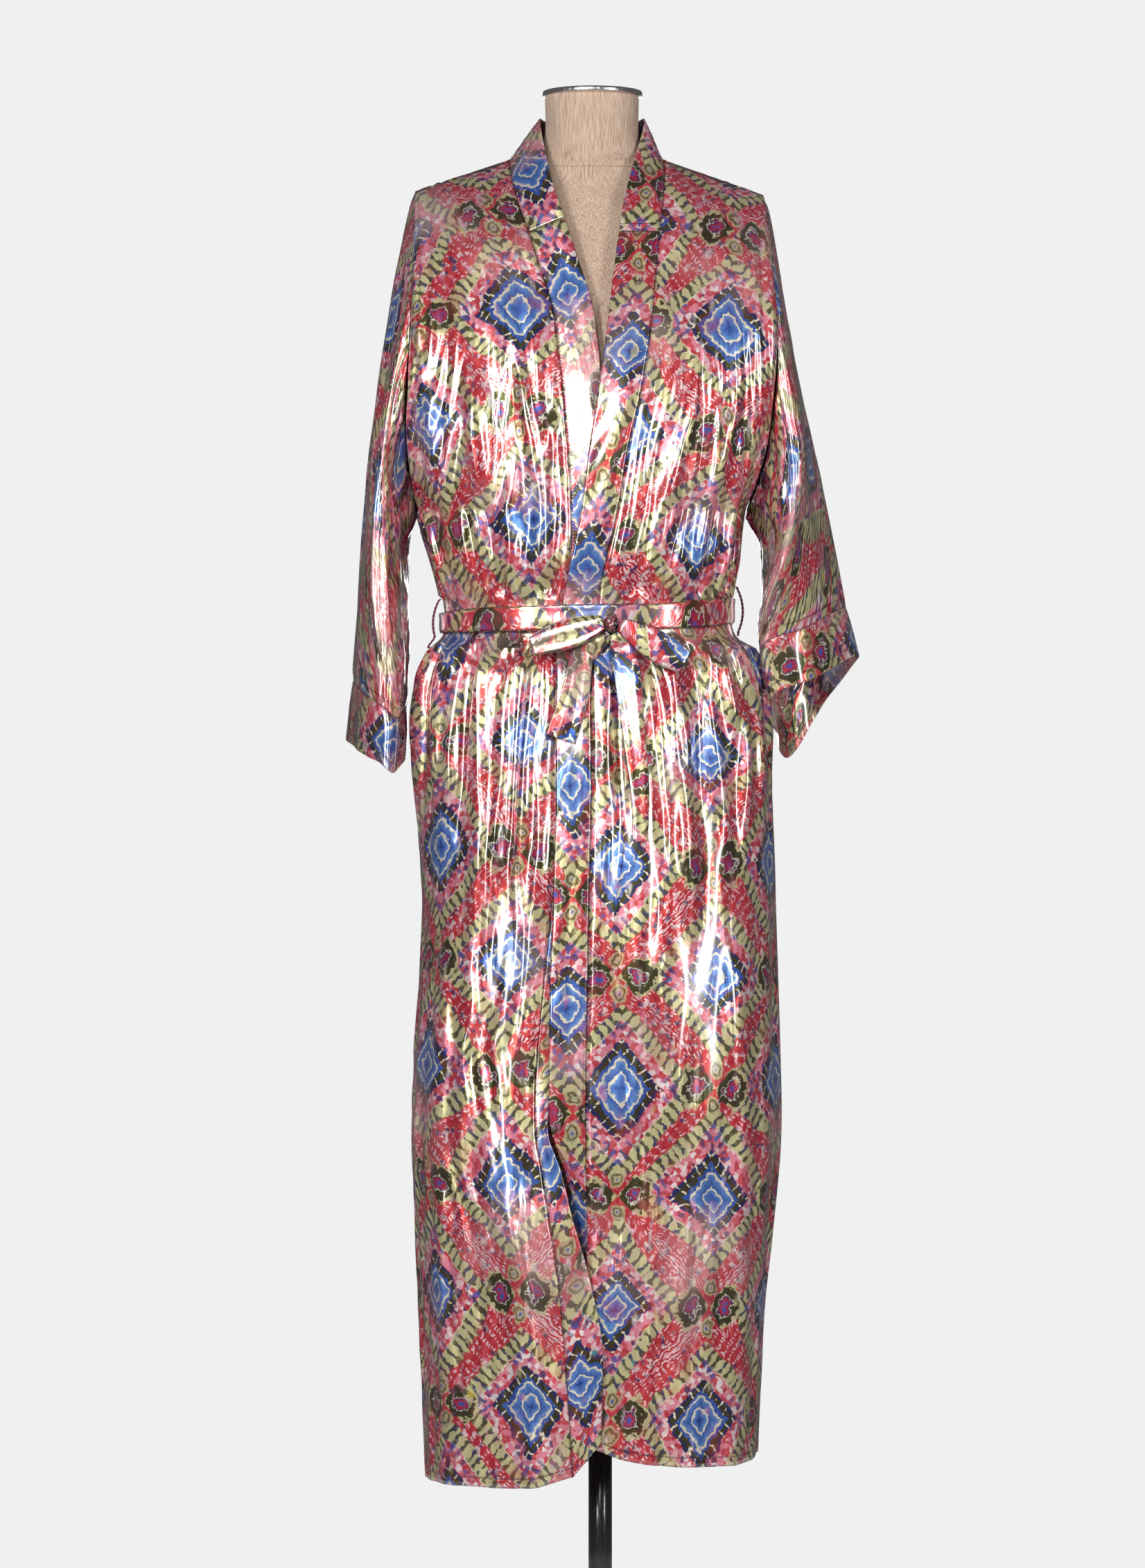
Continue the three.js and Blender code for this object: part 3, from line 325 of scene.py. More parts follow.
BANDS = {
    Side.RIGHT: Table(
        BAND_COLUMNS,
        (
            (1591, -68, -31, 15, 3, 5),
            (1542, -52.8, -14, 10, -2, 0),
            (1509, -42.7, -3.5, 10, -2, -1),
            (1458, -36.7, 4.7, 6, -2.5, -2.5),
            (1409, -31.8, 9, 3, -3, -3),
            (1297, -24, 17, 0, -3, -3),
            (1188, -27, 16, 0, -3, -3),
            (1060, -30, 12, 0, -3, -3),
            (930, -40, 0, 0, -3, -3),
            (850, -48, -14, 0, -3, -3),
            (750, -58, -33, 0, -3, -3),
            (690, -61, -45.5, 0, -1.5, -1.5),
            (655, -60, -47, 0, 0, 0.5),
            (620, -54, -34.5, 0, 1.5, 3),
            (575, -47, -23.5, 0, 3, 4),
            (520, -39, -7.7, 0, 3, 4),
            (449, -32, 7.2, 0, 3, 4),
            (396, -28, 8.5, 12, 3, 3),
            (305, -22, 7.2, 36, 3, 3),
        ),
    ),
    Side.LEFT: Table(
        BAND_COLUMNS,
        (
            (1591, 68, 25.5, 0, 3, 5),
            (1542, 63.4, 19.5, 2, -2, 0),
            (1496, 59, 14, 2, -1, 1),
            (1458, 54.2, 9, 0, 0, 2.5),
            (1409, 45.1, 2, 0, 2, 3),
            (1369, 35.7, -4.8, 0, 3, 3),
            (1297, 23, -14, 0, 3, 3),
            (1228, 7.3, -28, 0, 3, 3),
            (1188, 2, -35, 0, 3, 3),
            (1144, -3.4, -39.8, 0, 3, 3),
            (1000, -3.4, -39.8, 0, 3, 3),
            (930, -5, -41.6, 0, 3, 3),
            (800, -7.6, -46.1, 0, 3, 3),
            (700, -9, -47, 0, 1.8, 3),
            (668, -9, -46, 0, 0.5, 2.5),
            (648, -9, -41, 0, -0.5, -1),
            (620, -9, -31.5, 0, -1.5, -8),
            (575, -8.6, -24, 0, -3, -18),
            (520, -7, -19, 0, -3, -27),
            (449, -5, -12, 0, -3, -31),
            (333, -2, -5, 0, -3, -33),
        ),
    ),
}
# The neck band from the wearer's right chest round the neck to the left: its seam, and its standing edge
NECK_SEAM = np.array(
    [
        (
            -68, -77.4, 1591
        ), (-83.5, -47, 1638), (-88, 0, 1675), (-76, 38, 1672), (-42, 63, 1668), (-6, 70, 1667),
        (32, 62, 1668), (62, 38, 1672), (72, 0, 1675), (73, -47, 1638), (68, -77.4, 1591),
    ],
    float,
)
NECK_EDGE = np.array(
    [
        (
            -31, -79.4, 1606
        ), (-47, -57, 1657), (-57, -2, 1714), (-51, 39, 1720), (-28, 61, 1719), (-4, 66, 1717),
        (22, 61, 1719), (46, 39, 1720), (52.5, -2, 1712), (34, -57, 1640), (25.5, -79.4, 1591),
    ],
    float,
)
# Sections of the sleeves from the armhole to the hem, each through its top fold, front, low front, underside,
# low back and back
SLEEVES = {
    Side.RIGHT: np.array(
        [
            [
                (-188, 0, 1642), (-191, -81, 1500), (-196, -58, 1372),
                (-184, 0, 1306), (-195, 62, 1376), (-190, 84, 1496)
            ],
            [
                (-206, 3, 1568), (-212, -82, 1430), (-211, -70, 1325),
                (-197, -8, 1262), (-202, 60, 1330), (-205, 88, 1435)
            ],
            [
                (-225, 8, 1440), (-226, -84, 1345), (-214, -88, 1262),
                (-197, -28, 1212), (-200, 50, 1262), (-214, 92, 1345)
            ],
            [
                (-242, 13, 1282), (-236, -76, 1225), (-216, -96, 1180),
                (-198, -52, 1142), (-198, 34, 1180), (-220, 90, 1226)
            ],
            [
                (-253, 17, 1128), (-241, -66, 1112), (-219, -97, 1097),
                (-202, -78, 1086), (-197, 5, 1108), (-221, 85, 1128)
            ],
            [
                (-259, 20, 1066), (-245, -60, 1052), (-222, -97, 1039),
                (-206, -86, 1029), (-198, -8, 1054), (-221, 82, 1070)
            ],
        ],
        float,
    ),
    Side.LEFT: np.array(
        [
            [
                (178, 0, 1638), (190, -81, 1500), (182, -60, 1376),
                (160, 0, 1306), (178, 62, 1374), (188, 84, 1494)
            ],
            [
                (192, 3, 1570), (204, -80, 1425), (192, -68, 1322),
                (174, 8, 1262), (188, 66, 1318), (201, 90, 1430)
            ],
            [
                (215, 10, 1447), (215, -76, 1345), (193, -68, 1268),
                (177, 18, 1210), (194, 80, 1252), (216, 98, 1345)
            ],
            [
                (243, 18, 1322), (216, -60, 1264), (182, -60, 1220),
                (176, 22, 1166), (197, 88, 1178), (234, 106, 1250)
            ],
            [
                (267, 26, 1203), (222, -44, 1181), (175, -42, 1162),
                (184, 27, 1122), (203, 92, 1100), (240, 104, 1156)
            ],
            [
                (279, 30, 1152), (232, -37, 1129), (185, -38, 1108),
                (193, 27, 1069), (209, 88, 1046), (246, 100, 1103)
            ],
        ],
        float,
    ),
}
TORSO = Table(
    ("z", "middle", "half", "front", "back", "round"),
    (
        (1741, -2.2, 49.5, 46, 50, 2),
        (1700, -2.2, 49.5, 45.5, 50, 2),
        (1679, -3, 56, 45, 51, 1.8),
        (1670, -7, 72, 45, 51, 1.3),
        (1658, -7, 116, 45, 52, 1.1),
        (1645, -6, 155, 46, 54, 1.12),
        (1634, -5.5, 170, 50, 58, 1.25),
        (1600, -4, 175, 63, 68, 1.7),
        (1550, -3, 176, 82, 80, 2.1),
        (1500, -3, 170, 97, 87, 2.2),
        (1450, -3, 160, 108, 90, 2.3),
        (1415, -4, 153, 111, 88, 2.3),
        (1370, -6, 143, 106, 83, 2.3),
        (1310, -8, 129, 92, 76, 2.2),
        (1257, -8, 121, 84, 73, 2.2),
        (1190, -6, 134, 94, 82, 2.2),
        (1120, -4, 152, 106, 98, 2.2),
        (1050, -2, 165, 111, 106, 2.2),
        (990, 0, 164, 108, 103, 2.2),
        (960, 2, 160, 104, 98, 2.2),
    ),
)
# Each fold: top, bottom, place across at both, width as a share of the panel, and height
FOLDS = {
    "front_right": (
        (1480, 1215, 0.64, 0.72, 0.05, 6),
        (1450, 1220, 0.88, 0.9, 0.035, 4),
        (1430, 1215, 0.38, 0.5, 0.06, 6),
        (1340, 1212, 0.2, 0.28, 0.05, 5),
        (1165, 830, 0.67, 0.64, 0.05, 8),
        (1165, 960, 0.76, 0.73, 0.035, -7),
        (1165, 900, 0.86, 0.85, 0.04, 5),
        (1165, 1000, 0.45, 0.4, 0.05, 6),
        (1000, 300, 0.5, 0.42, 0.1, 6),
        (700, 290, 0.84, 0.88, 0.06, 8),
    ),
    "front_left": (
        (1480, 1220, 0.52, 0.56, 0.055, 6),
        (1450, 1215, 0.78, 0.82, 0.04, 5),
        (1400, 1215, 0.3, 0.38, 0.05, 6),
        (1165, 840, 0.74, 0.66, 0.045, 8),
        (1165, 1060, 0.52, 0.42, 0.045, 6),
        (1165, 980, 0.88, 0.87, 0.035, 4),
        (1165, 1000, 0.33, 0.27, 0.045, 6),
        (1000, 320, 0.45, 0.4, 0.1, 6),
        (800, 315, 0.8, 0.76, 0.035, -6),
    ),
    "back_panel": (
        (1480, 1215, 0.22, 0.28, 0.03, 6),
        (1420, 1212, 0.37, 0.4, 0.03, 6),
        (1450, 1215, 0.52, 0.51, 0.03, 5),
        (1400, 1212, 0.64, 0.62, 0.03, 6),
        (1460, 1215, 0.79, 0.74, 0.03, 6),
        (1165, 900, 0.25, 0.2, 0.035, 7),
        (1165, 820, 0.38, 0.36, 0.035, 7),
        (1165, 760, 0.5, 0.52, 0.035, 8),
        (1165, 860, 0.63, 0.66, 0.035, 7),
        (1165, 930, 0.76, 0.82, 0.035, 7),
        (850, 290, 0.3, 0.28, 0.07, 7),
        (900, 290, 0.7, 0.73, 0.07, 7),
    ),
}
HEM_LEVEL = 300.0
HEM_EASE = 640.0
HEM_BACK = {Side.RIGHT: 289.0, Side.LEFT: 316.0}
HEM_FRONT = {
    Side.RIGHT: Table(("at", "z"), ((0, 289), (0.5, 292), (0.85, 294), (1, 305))),
    Side.LEFT: Table(("at", "z"), ((0, 316), (0.3, 311), (0.7, 313), (0.9, 321), (1, 333))),
}
SQUARE = 2.25
ROUND_LEVEL = 1591.0
NECK_SIDE = 0.5
CENTRE_X = -5.0
CHEST_LEVEL = 1591.0
NECK_LEVEL = float(NECK_SEAM[2][2])
UNDERARM = float(SLEEVES[Side.RIGHT][0][3][2])
CUFF_START = 0.8
ARMHOLE_GAP = 0.5


@dataclass(frozen=True)
class RobeForm:
    """The robe's surfaces, each a function of two parameters, the same as the solids' outer faces."""

    @staticmethod
    def fold_height(panel: str, at: Array, z: Array) -> Array:
        """Height of the panel's largest folds, which fade at their ends and are pressed flat by the belt."""
        edge = 0.1 if panel == "back_panel" else 0.05
        seams = ease(at / 0.1) * ease((1 - at) / edge)
        total = np.zeros_like(at)
        for row in FOLDS[panel]:
            top, bottom, at_top, at_bottom, width, height = row
            length = top - bottom
            near = min(abs(top - BELT_HEIGHT), abs(bottom - BELT_HEIGHT)) < 40
            below = near and top < BELT_HEIGHT
            above = near and top > BELT_HEIGHT
            top_share = ease((top - z) / length / (0.1 if below else 0.35))
            low_share = np.ones_like(z) if bottom < 340 else ease((z - bottom) / length / 0.35)
            if above:
                low_share = ease((z - bottom) / length / 0.12)
            middle = mix(at_top, at_bottom, np.clip((top - z) / length, 0, 1))
            total += height * np.exp(-(((at - middle) / width) ** 2)) * top_share * low_share * seams
        return total

    @staticmethod
    def neck_along(side: Side, share: Array | float) -> Array | float:
        """Place along the neck band, counted from a side's chest."""
        return share if side is Side.RIGHT else 1 - share

    @staticmethod
    def armhole(side: Side, back: bool, t: Array) -> Array:
        """Point of the armhole, from 0 at the shoulder to 1 at the underarm."""
        return through(SLEEVES[side][0], 1 - t / 2 if back else t / 2, closed=True)

    def armhole_share(self, side: Side, back: bool, level: Array) -> Array:
        """How far down the armhole a row of the body meets it."""
        share = np.clip((NECK_LEVEL - level) / (NECK_LEVEL - UNDERARM), 0, 1)
        top, under = SLEEVES[side][0][0][2], SLEEVES[side][0][3][2]
        found = reaches(lambda t: self.armhole(side, back, t)[:, 2], mix(top, under, share))
        return np.where(share <= 0, 0.0, np.where(share >= 1, 1.0, found))

    @staticmethod
    def hem_height(level: Array, hem: Array | float) -> Array:
        """Height of a row where the hem is at height hem."""
        return level + (hem - HEM_LEVEL) * ease((HEM_EASE - level) / (HEM_EASE - HEM_LEVEL))

    def side_edge(self, side: Side, back: bool, level: Array, hem: Array | float) -> Array:
        """Outer edge of a row: on the armhole, and below it on the side seam."""
        z = self.hem_height(level, hem)
        seam = np.stack([BODY.value(side.label, z), np.zeros_like(z), z], axis=-1)
        hole = self.armhole(side, back, self.armhole_share(side, back, level))
        return np.where((level > UNDERARM)[:, None], hole, seam)

    def band_seam(self, side: Side, level: Array) -> Array:
        """Seam between a front and its band: the neck band's curve above the chest, the table below it."""
        share = 1 - reaches(lambda t: through(NECK_SEAM, self.neck_along(side, (1 - t) * 0.2))[:, 2], level)
        neck = through(NECK_SEAM, self.neck_along(side, share * 0.2))
        hem = HEM_FRONT[side].value("z", 1.0)
        z = self.hem_height(level, hem)
        depth = -(BODY.value("front", z) + BANDS[side].value("seam_out", z))
        low = np.stack([BANDS[side].value("seam", z), depth, z], axis=-1)
        return np.where((level >= CHEST_LEVEL)[:, None], neck, low)

    @staticmethod
    def quarter(at: Array) -> tuple[Array, Array]:
        """Shares of the way to the side and to the full depth, round a quarter of a squarish oval."""
        angle = np.clip(at, 0, 1) * math.pi / 2
        return np.cos(angle) ** (2 / SQUARE), np.sin(angle) ** (2 / SQUARE)

    def front(self, side: Side, across: Array, level: Array) -> Array:
        """Front panel: across goes from the side seam to the band."""
        hem = HEM_FRONT[side].value("z", across)
        edge = self.side_edge(side, False, level, hem)
        seam = self.band_seam(side, level)
        side_share, depth_share = self.quarter(across)
        height = np.where(
            level > HEM_EASE, mix(seam[:, 2], edge[:, 2], side_share), self.hem_height(level, hem)
        )
        point = np.stack(
            [
                mix(seam[:, 0], edge[:, 0], side_share), mix(edge[:, 1], seam[:, 1], depth_share), height
            ], axis=-1
        )
        fold = self.fold_height(f"front_{side.label}", across, point[:, 2])
        return point + outward(point) * fold[:, None]

    def back_row(self, side: Side, at: Array, level: Array, hem: Array) -> Array:
        """Point of the back below the shoulders, from the side seam at 0 to the centre at 1."""
        edge = self.side_edge(side, True, level, hem)
        side_share, depth_share = self.quarter(at)
        depth = mix(edge[:, 1], BODY.value("back", edge[:, 2]), depth_share)
        return np.stack([mix(CENTRE_X, edge[:, 0], side_share), depth, edge[:, 2]], axis=-1)

    def back_half(self, side: Side, across: Array, level: Array) -> Array:
        """One half of the back, rounded over to its upper edge by a quarter of an oval."""
        at = 1 - np.abs(2 * across - 1)
        hem = mix(HEM_BACK[Side.RIGHT], HEM_BACK[Side.LEFT], across)
        low = self.back_row(side, at, level, hem)
        fold = self.fold_height("back_panel", across, low[:, 2])
        low = low + outward(low) * fold[:, None]
        turn = np.clip((NECK_LEVEL - level) / (NECK_LEVEL - ROUND_LEVEL), 0, 1) * math.pi / 2
        swing = np.sin(turn)[:, None] * [1, 1, 0] + (1 - np.cos(turn))[:, None] * [0, 0, 1]
        shoulder = SLEEVES[side][0][0]
        neck_side = through(NECK_SEAM, np.atleast_1d(self.neck_along(side, 0.2)))[0]
        seam = mix(shoulder, neck_side, (np.clip(at / NECK_SIDE, 0, 1))[:, None])
        neck = through(NECK_SEAM, self.neck_along(side, mix(0.2, 0.5, (at - NECK_SIDE) / (1 - NECK_SIDE))))
        top = np.where((at < NECK_SIDE)[:, None], seam, neck)
        round_level = np.full_like(level, ROUND_LEVEL)
        inner = mix(top, self.back_row(side, at, round_level, hem), swing)
        hole = self.side_edge(side, True, level, hem)
        rounded = mix(shoulder, self.side_edge(side, True, round_level, hem), swing)
        near = (self.quarter(at)[0] ** 6)[:, None]
        return np.where((level <= ROUND_LEVEL)[:, None], low, inner + (hole - rounded) * near)

    def back(self, across: Array, level: Array) -> Array:
        """Back panel: across goes from the wearer's right side seam over the centre to the left one."""
        right = self.back_half(Side.RIGHT, across, level)
        left = self.back_half(Side.LEFT, across, level)
        return np.where((across < 0.5)[:, None], right, left)

    @staticmethod
    def sleeve(side: Side, around: Array, along: Array) -> Array:
        """Sleeve: around goes once round from the top fold, along from the armhole to the hem of the cuff."""
        rings = np.stack([through(SLEEVES[side][:, seam], along) for seam in range(6)])
        point = through(rings, around - np.floor(around), closed=True)
        return point + [side.value * ARMHOLE_GAP, 0, 0]

    def band(self, side: Side, across: Array, level: Array) -> Array:
        """Front band: across goes from its seam to its free edge."""
        seam = self.band_seam(side, level)
        band = BANDS[side]
        z = seam[:, 2]
        out = (band.value("edge_out", z) - band.value("seam_out", z)) * across
        x = mix(seam[:, 0], band.value("edge", z), across)
        return np.stack([x, seam[:, 1] - out, z + across * band.value("rise", z)], axis=-1)

    @staticmethod
    def neck_band(across: Array, along: Array) -> Array:
        """Neck band: across goes from its seam to its standing edge."""
        return mix(through(NECK_SEAM, along), through(NECK_EDGE, along), across[:, None])


@dataclass(frozen=True)
class Cut:
    """Size of the flat cloth that a piece is made of, in metres, and how the cloth is held."""

    width: float
    length: float
    area: float
    hold: Hold
    rests_on: tuple[str, ...]


@dataclass
class Grid:
    """A grid of points in millimetres, rows by columns, and what its cloth measures."""

    points: Array
    ring: bool = False

    def closed(self) -> Array:
        """The points, with the first column again at the end of a ring."""
        return np.concatenate([self.points, self.points[:, :1]], axis=1) if self.ring else self.points

    def across(self) -> Array:
        """Length along each row up to each point."""
        steps = np.linalg.norm(np.diff(self.closed(), axis=1), axis=-1)
        return np.concatenate([np.zeros((len(steps), 1)), np.cumsum(steps, axis=1)], axis=1)

    def down(self) -> Array:
        """Length down each column up to each point."""
        steps = np.linalg.norm(np.diff(self.closed(), axis=0), axis=-1)
        return np.concatenate([np.zeros((1, steps.shape[1])), np.cumsum(steps, axis=0)], axis=0)

    def area(self) -> float:
        """Area in square millimetres, each cell as two triangles."""
        p = self.closed()
        a, b, c, d = p[:-1, :-1], p[:-1, 1:], p[1:, 1:], p[1:, :-1]
        one = np.linalg.norm(np.cross(b - a, c - a), axis=-1)
        two = np.linalg.norm(np.cross(c - a, d - a), axis=-1)
        return float((one + two).sum() / 2)

    def cut(self, hold: Hold, rests_on: tuple[str, ...]) -> Cut:
        """The flat cut: its longest row by its longest column, and its own area."""
        width = float(self.across()[:, -1].max())
        length = float(self.down()[-1].max())
        area = min(self.area(), width * length)
        return Cut(width * MM, length * MM, max(area, 0.3 * width * length) * MM * MM, hold, rests_on)


def mesh_object(name: str, points: Array, faces: Array, shift: float = SHIFT_X) -> bpy.types.Object:
    """A smooth mesh object at the origin.

    Args:
        name: the piece's name.
        points: (n, 3) in millimetres.
        faces: (m, 3) or (m, 4) indices.
        shift: how far the points move along x.

    Returns:
        The object, linked into the scene.
    """
    places = (points.reshape(-1, 3) + [shift, 0, 0]) * MM
    mesh = bpy.data.meshes.new(name)
    mesh.from_pydata(places.tolist(), [], faces.tolist())
    mesh.shade_smooth()
    mesh.update()
    made = bpy.data.objects.new(name, mesh)
    bpy.context.scene.collection.objects.link(made)
    return made


def grid_faces(rows: int, columns: int, ring: bool) -> Array:
    """Quads of a grid, row by row; ring joins the last column to the first."""
    spans = columns if ring else columns - 1
    j, i = np.meshgrid(np.arange(rows - 1), np.arange(spans), indexing="ij")
    right = (i + 1) % columns
    quads = np.stack(
        [j * columns + i, (j + 1) * columns + i, (j + 1) * columns + right, j * columns + right], axis=-1
    )
    return quads.reshape(-1, 4)


def turned_out(points: Array, faces: Array, out: Array) -> Array:
    """Faces turned so that, on the whole, they face along out, the facing at each point."""
    p = points.reshape(-1, 3)
    a, b, c = p[faces[:, 0]], p[faces[:, 1]], p[faces[:, 2]]
    normal = np.cross(b - a, c - a)
    agrees = float((normal * out.reshape(-1, 3)[faces[:, 0]]).sum())
    return faces if agrees > 0 else faces[:, ::-1]


def put_attribute(made: bpy.types.Object, name: str, values: Array) -> None:
    """Store one number at each vertex."""
    layer = made.data.attributes.new(name, "FLOAT", "POINT")
    layer.data.foreach_set("value", np.ascontiguousarray(values, np.float32).ravel())


def put_uv(made: bpy.types.Object, u: Array, v: Array, faces: Array, columns: int, ring: bool) -> None:
    """Give each face's corners their place on the flat cloth, in metres.

    Args:
        made: the object.
        u: length across at each point, with one more column than the mesh on a ring.
        v: length down at each point, in u's shape.
        faces: the quads, in the order of the mesh.
        columns: columns of the mesh.
        ring: whether the last column joins the first.
    """
    layer = made.data.uv_layers.new(name=UV_NAME)
    row, column = faces // columns, faces % columns
    if ring:
        wraps = (column.max(axis=1) == columns - 1) & (column.min(axis=1) == 0)
        column = np.where(wraps[:, None] & (column == 0), columns, column)
    corners = np.stack([u[row, column], v[row, column]], axis=-1) * MM
    layer.data.foreach_set("uv", np.ascontiguousarray(corners, np.float32).ravel())


def give_thickness(made: bpy.types.Object, thickness: float) -> None:
    """Turn a surface into a thin shell that grows inwards, in millimetres."""
    shell = made.modifiers.new("thickness", "SOLIDIFY")
    shell.thickness = thickness * MM
    shell.offset = -1
    shell.use_even_offset = False


@dataclass
class Laid:
    """A finished surface: its points in millimetres, and which way it faces at each."""

    points: Array
    out: Array
    ring: bool = False

    def across(self, distance: float, from_end: bool = False) -> tuple[Array, Array]:
        """A line at a distance from the top or bottom edge, from one side to the other.

        Args:
            distance: from the edge, in millimetres along the cloth.
            from_end: whether it is counted from the bottom edge.

        Returns:
            Points and facings.
        """
        points = self.points[::-1] if from_end else self.points
        out = self.out[::-1] if from_end else self.out
        return self.between(points, out, distance)

    def down(self, distance: float, from_end: bool = False) -> tuple[Array, Array]:
        """A line at a distance from the first or last column, from the top to the bottom."""
        points = self.points[:, ::-1] if from_end else self.points
        out = self.out[:, ::-1] if from_end else self.out
        return self.between(points.transpose(1, 0, 2), out.transpose(1, 0, 2), distance)

    @staticmethod
    def between(points: Array, out: Array, distance: float) -> tuple[Array, Array]:
        """Points at a distance along each column, mixed from the two nearest rows."""
        along = np.cumsum(np.linalg.norm(np.diff(points, axis=0), axis=-1), axis=0)
        along = np.concatenate([np.zeros((1, along.shape[1])), along])
        row = np.clip((along <= distance).sum(axis=0) - 1, 0, len(points) - 2)
        column = np.arange(points.shape[1])
        start, end = along[row, column], along[row + 1, column]
        share = ((distance - start) / np.maximum(end - start, 1e-6))[:, None]
        place = mix(points[row, column], points[row + 1, column], share)
        return place, unit(mix(out[row, column], out[row + 1, column], share))


@dataclass
class ClothPiece:
    """One cut of cloth: its surface, its relief and its finish."""

    name: str
    node: str
    slot: Slot
    material: bpy.types.Material
    surface: Surface
    out: Callable[[Array, Array], Array]
    across: Array
    down: Array
    relief: Callable[[Array, Array, Grid], Array]
    hold: Hold
    rests_on: tuple[str, ...]
    anchor: tuple[float, float]
    ring: bool = False
    thickness: float = 0.7
    seams: tuple[bool, bool, bool, bool] = (True, True, True, False)

    def build(self) -> Laid:
        """Returns:
            Its finished surface.
        """
        rows, columns = len(self.down), len(self.across)
        v, u = (side.ravel() for side in np.meshgrid(self.down, self.across, indexing="ij"))
        smooth = self.surface(u, v).reshape(rows, columns, 3)
        flat = Grid(smooth, self.ring)
        out = self.out(u, v).reshape(rows, columns, 3)
        height = self.relief(u.reshape(rows, columns), v.reshape(rows, columns), flat)
        points = smooth + out * height[..., None]
        faces = turned_out(points, grid_faces(rows, columns, self.ring), out)
        made = mesh_object(self.name, points, faces)
        self.lay_print(made, flat, faces, columns)
        give_thickness(made, self.thickness)
        made.data.materials.append(self.material)
        cut = Grid(points, self.ring).cut(self.hold, self.rests_on)
        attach(made, "form")
        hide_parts(self.node)
        log.info("%s: cut %.3f by %.3f m, %.4f m2", self.name, cut.width, cut.length, cut.area)
        return Laid(points, out, self.ring)

    def lay_print(self, made: bpy.types.Object, flat: Grid, faces: Array, columns: int) -> None:
        """Store the cloth's own coordinates, and how far each point lies from a seam and from the hem."""
        across, down = flat.across(), flat.down()
        column = int(np.abs(self.across - self.anchor[0]).argmin())
        row = int(np.abs(self.down - self.anchor[1]).argmin())
        u = across - across[:, column : column + 1]
        v = down[row : row + 1, :] - down
        put_uv(made, u, v, faces, columns, self.ring)
        kept = across[:, :columns]
        far = np.full_like(kept, 1000.0)
        starts, ends, tops, lows = self.seams
        lengths = down[:, :columns]
        for wanted, distance in (
            (starts and not self.ring, kept),
            (ends and not self.ring, kept[:, -1:] - kept),
            (tops, lengths),
            (lows, lengths[-1:] - lengths),
        ):
            far = np.minimum(far, distance) if wanted else far
        # The seam and hem distances set where the satin's finish paints shade: at the seams and along the
        # hem's fold.
        put_attribute(made, SEAM_NAME, far * MM)
        put_attribute(made, HEM_NAME, (lengths[-1:] - lengths) * MM)


BELT_CLEAR = (1168.0, 1208.0)
PANEL_WIDTH = {"front": 235.0, "back": 450.0}
SLEEVE_GIRTH = 420.0


@dataclass(frozen=True)
class SeamPull:
    """How the cloth sinks towards a seam: a shallow trough whose depth wavers along it."""

    depth: float = 0.7
    reach: float = 7.0
    waver: float = 0.9

    def height(self, distance: Array, along: Array) -> Array:
        """Depth at a distance from the seam; along is the place on it, in millimetres."""
        pucker = 1 + 0.6 * np.sin(along / 7.3 + 1.7 * np.sin(along / 31)) * np.exp(-distance / 12)
        return -self.depth * self.waver * pucker * np.exp(-((distance / self.reach) ** 2))


def by_hand(rows: Sequence[tuple[float, ...]]) -> tuple[Crease, ...]:
    """Creases from rows of start x, start y, end x, end y, width, height and bow."""
    return tuple(Crease(row[:2], row[2:4], *row[4:]) for row in rows)


def belt_gathers(
    seed: int, counts: tuple[int, int], above: tuple[float, float], below: tuple[float, float]
) -> tuple[Crease, ...]:
    """Creases that the belt draws in, above and below it.

    Args:
        seed: sets the gathers above the belt, and the next number those below it.
        counts: how many there are above and below.
        above: span across the panel above the belt.
        below: span across the panel below it.

    Returns:
        The creases.
    """
    high = Gathers(seed, counts[0], above, BELT_CLEAR[1], (60, 260), (1.6, 5.2), (3.0, 8.5))
    low = Gathers(seed + 1, counts[1], below, BELT_CLEAR[0], (-360, -80), (1.8, 6.0), (3.4, 9.0))
    return tuple(high.creases()) + tuple(low.creases())


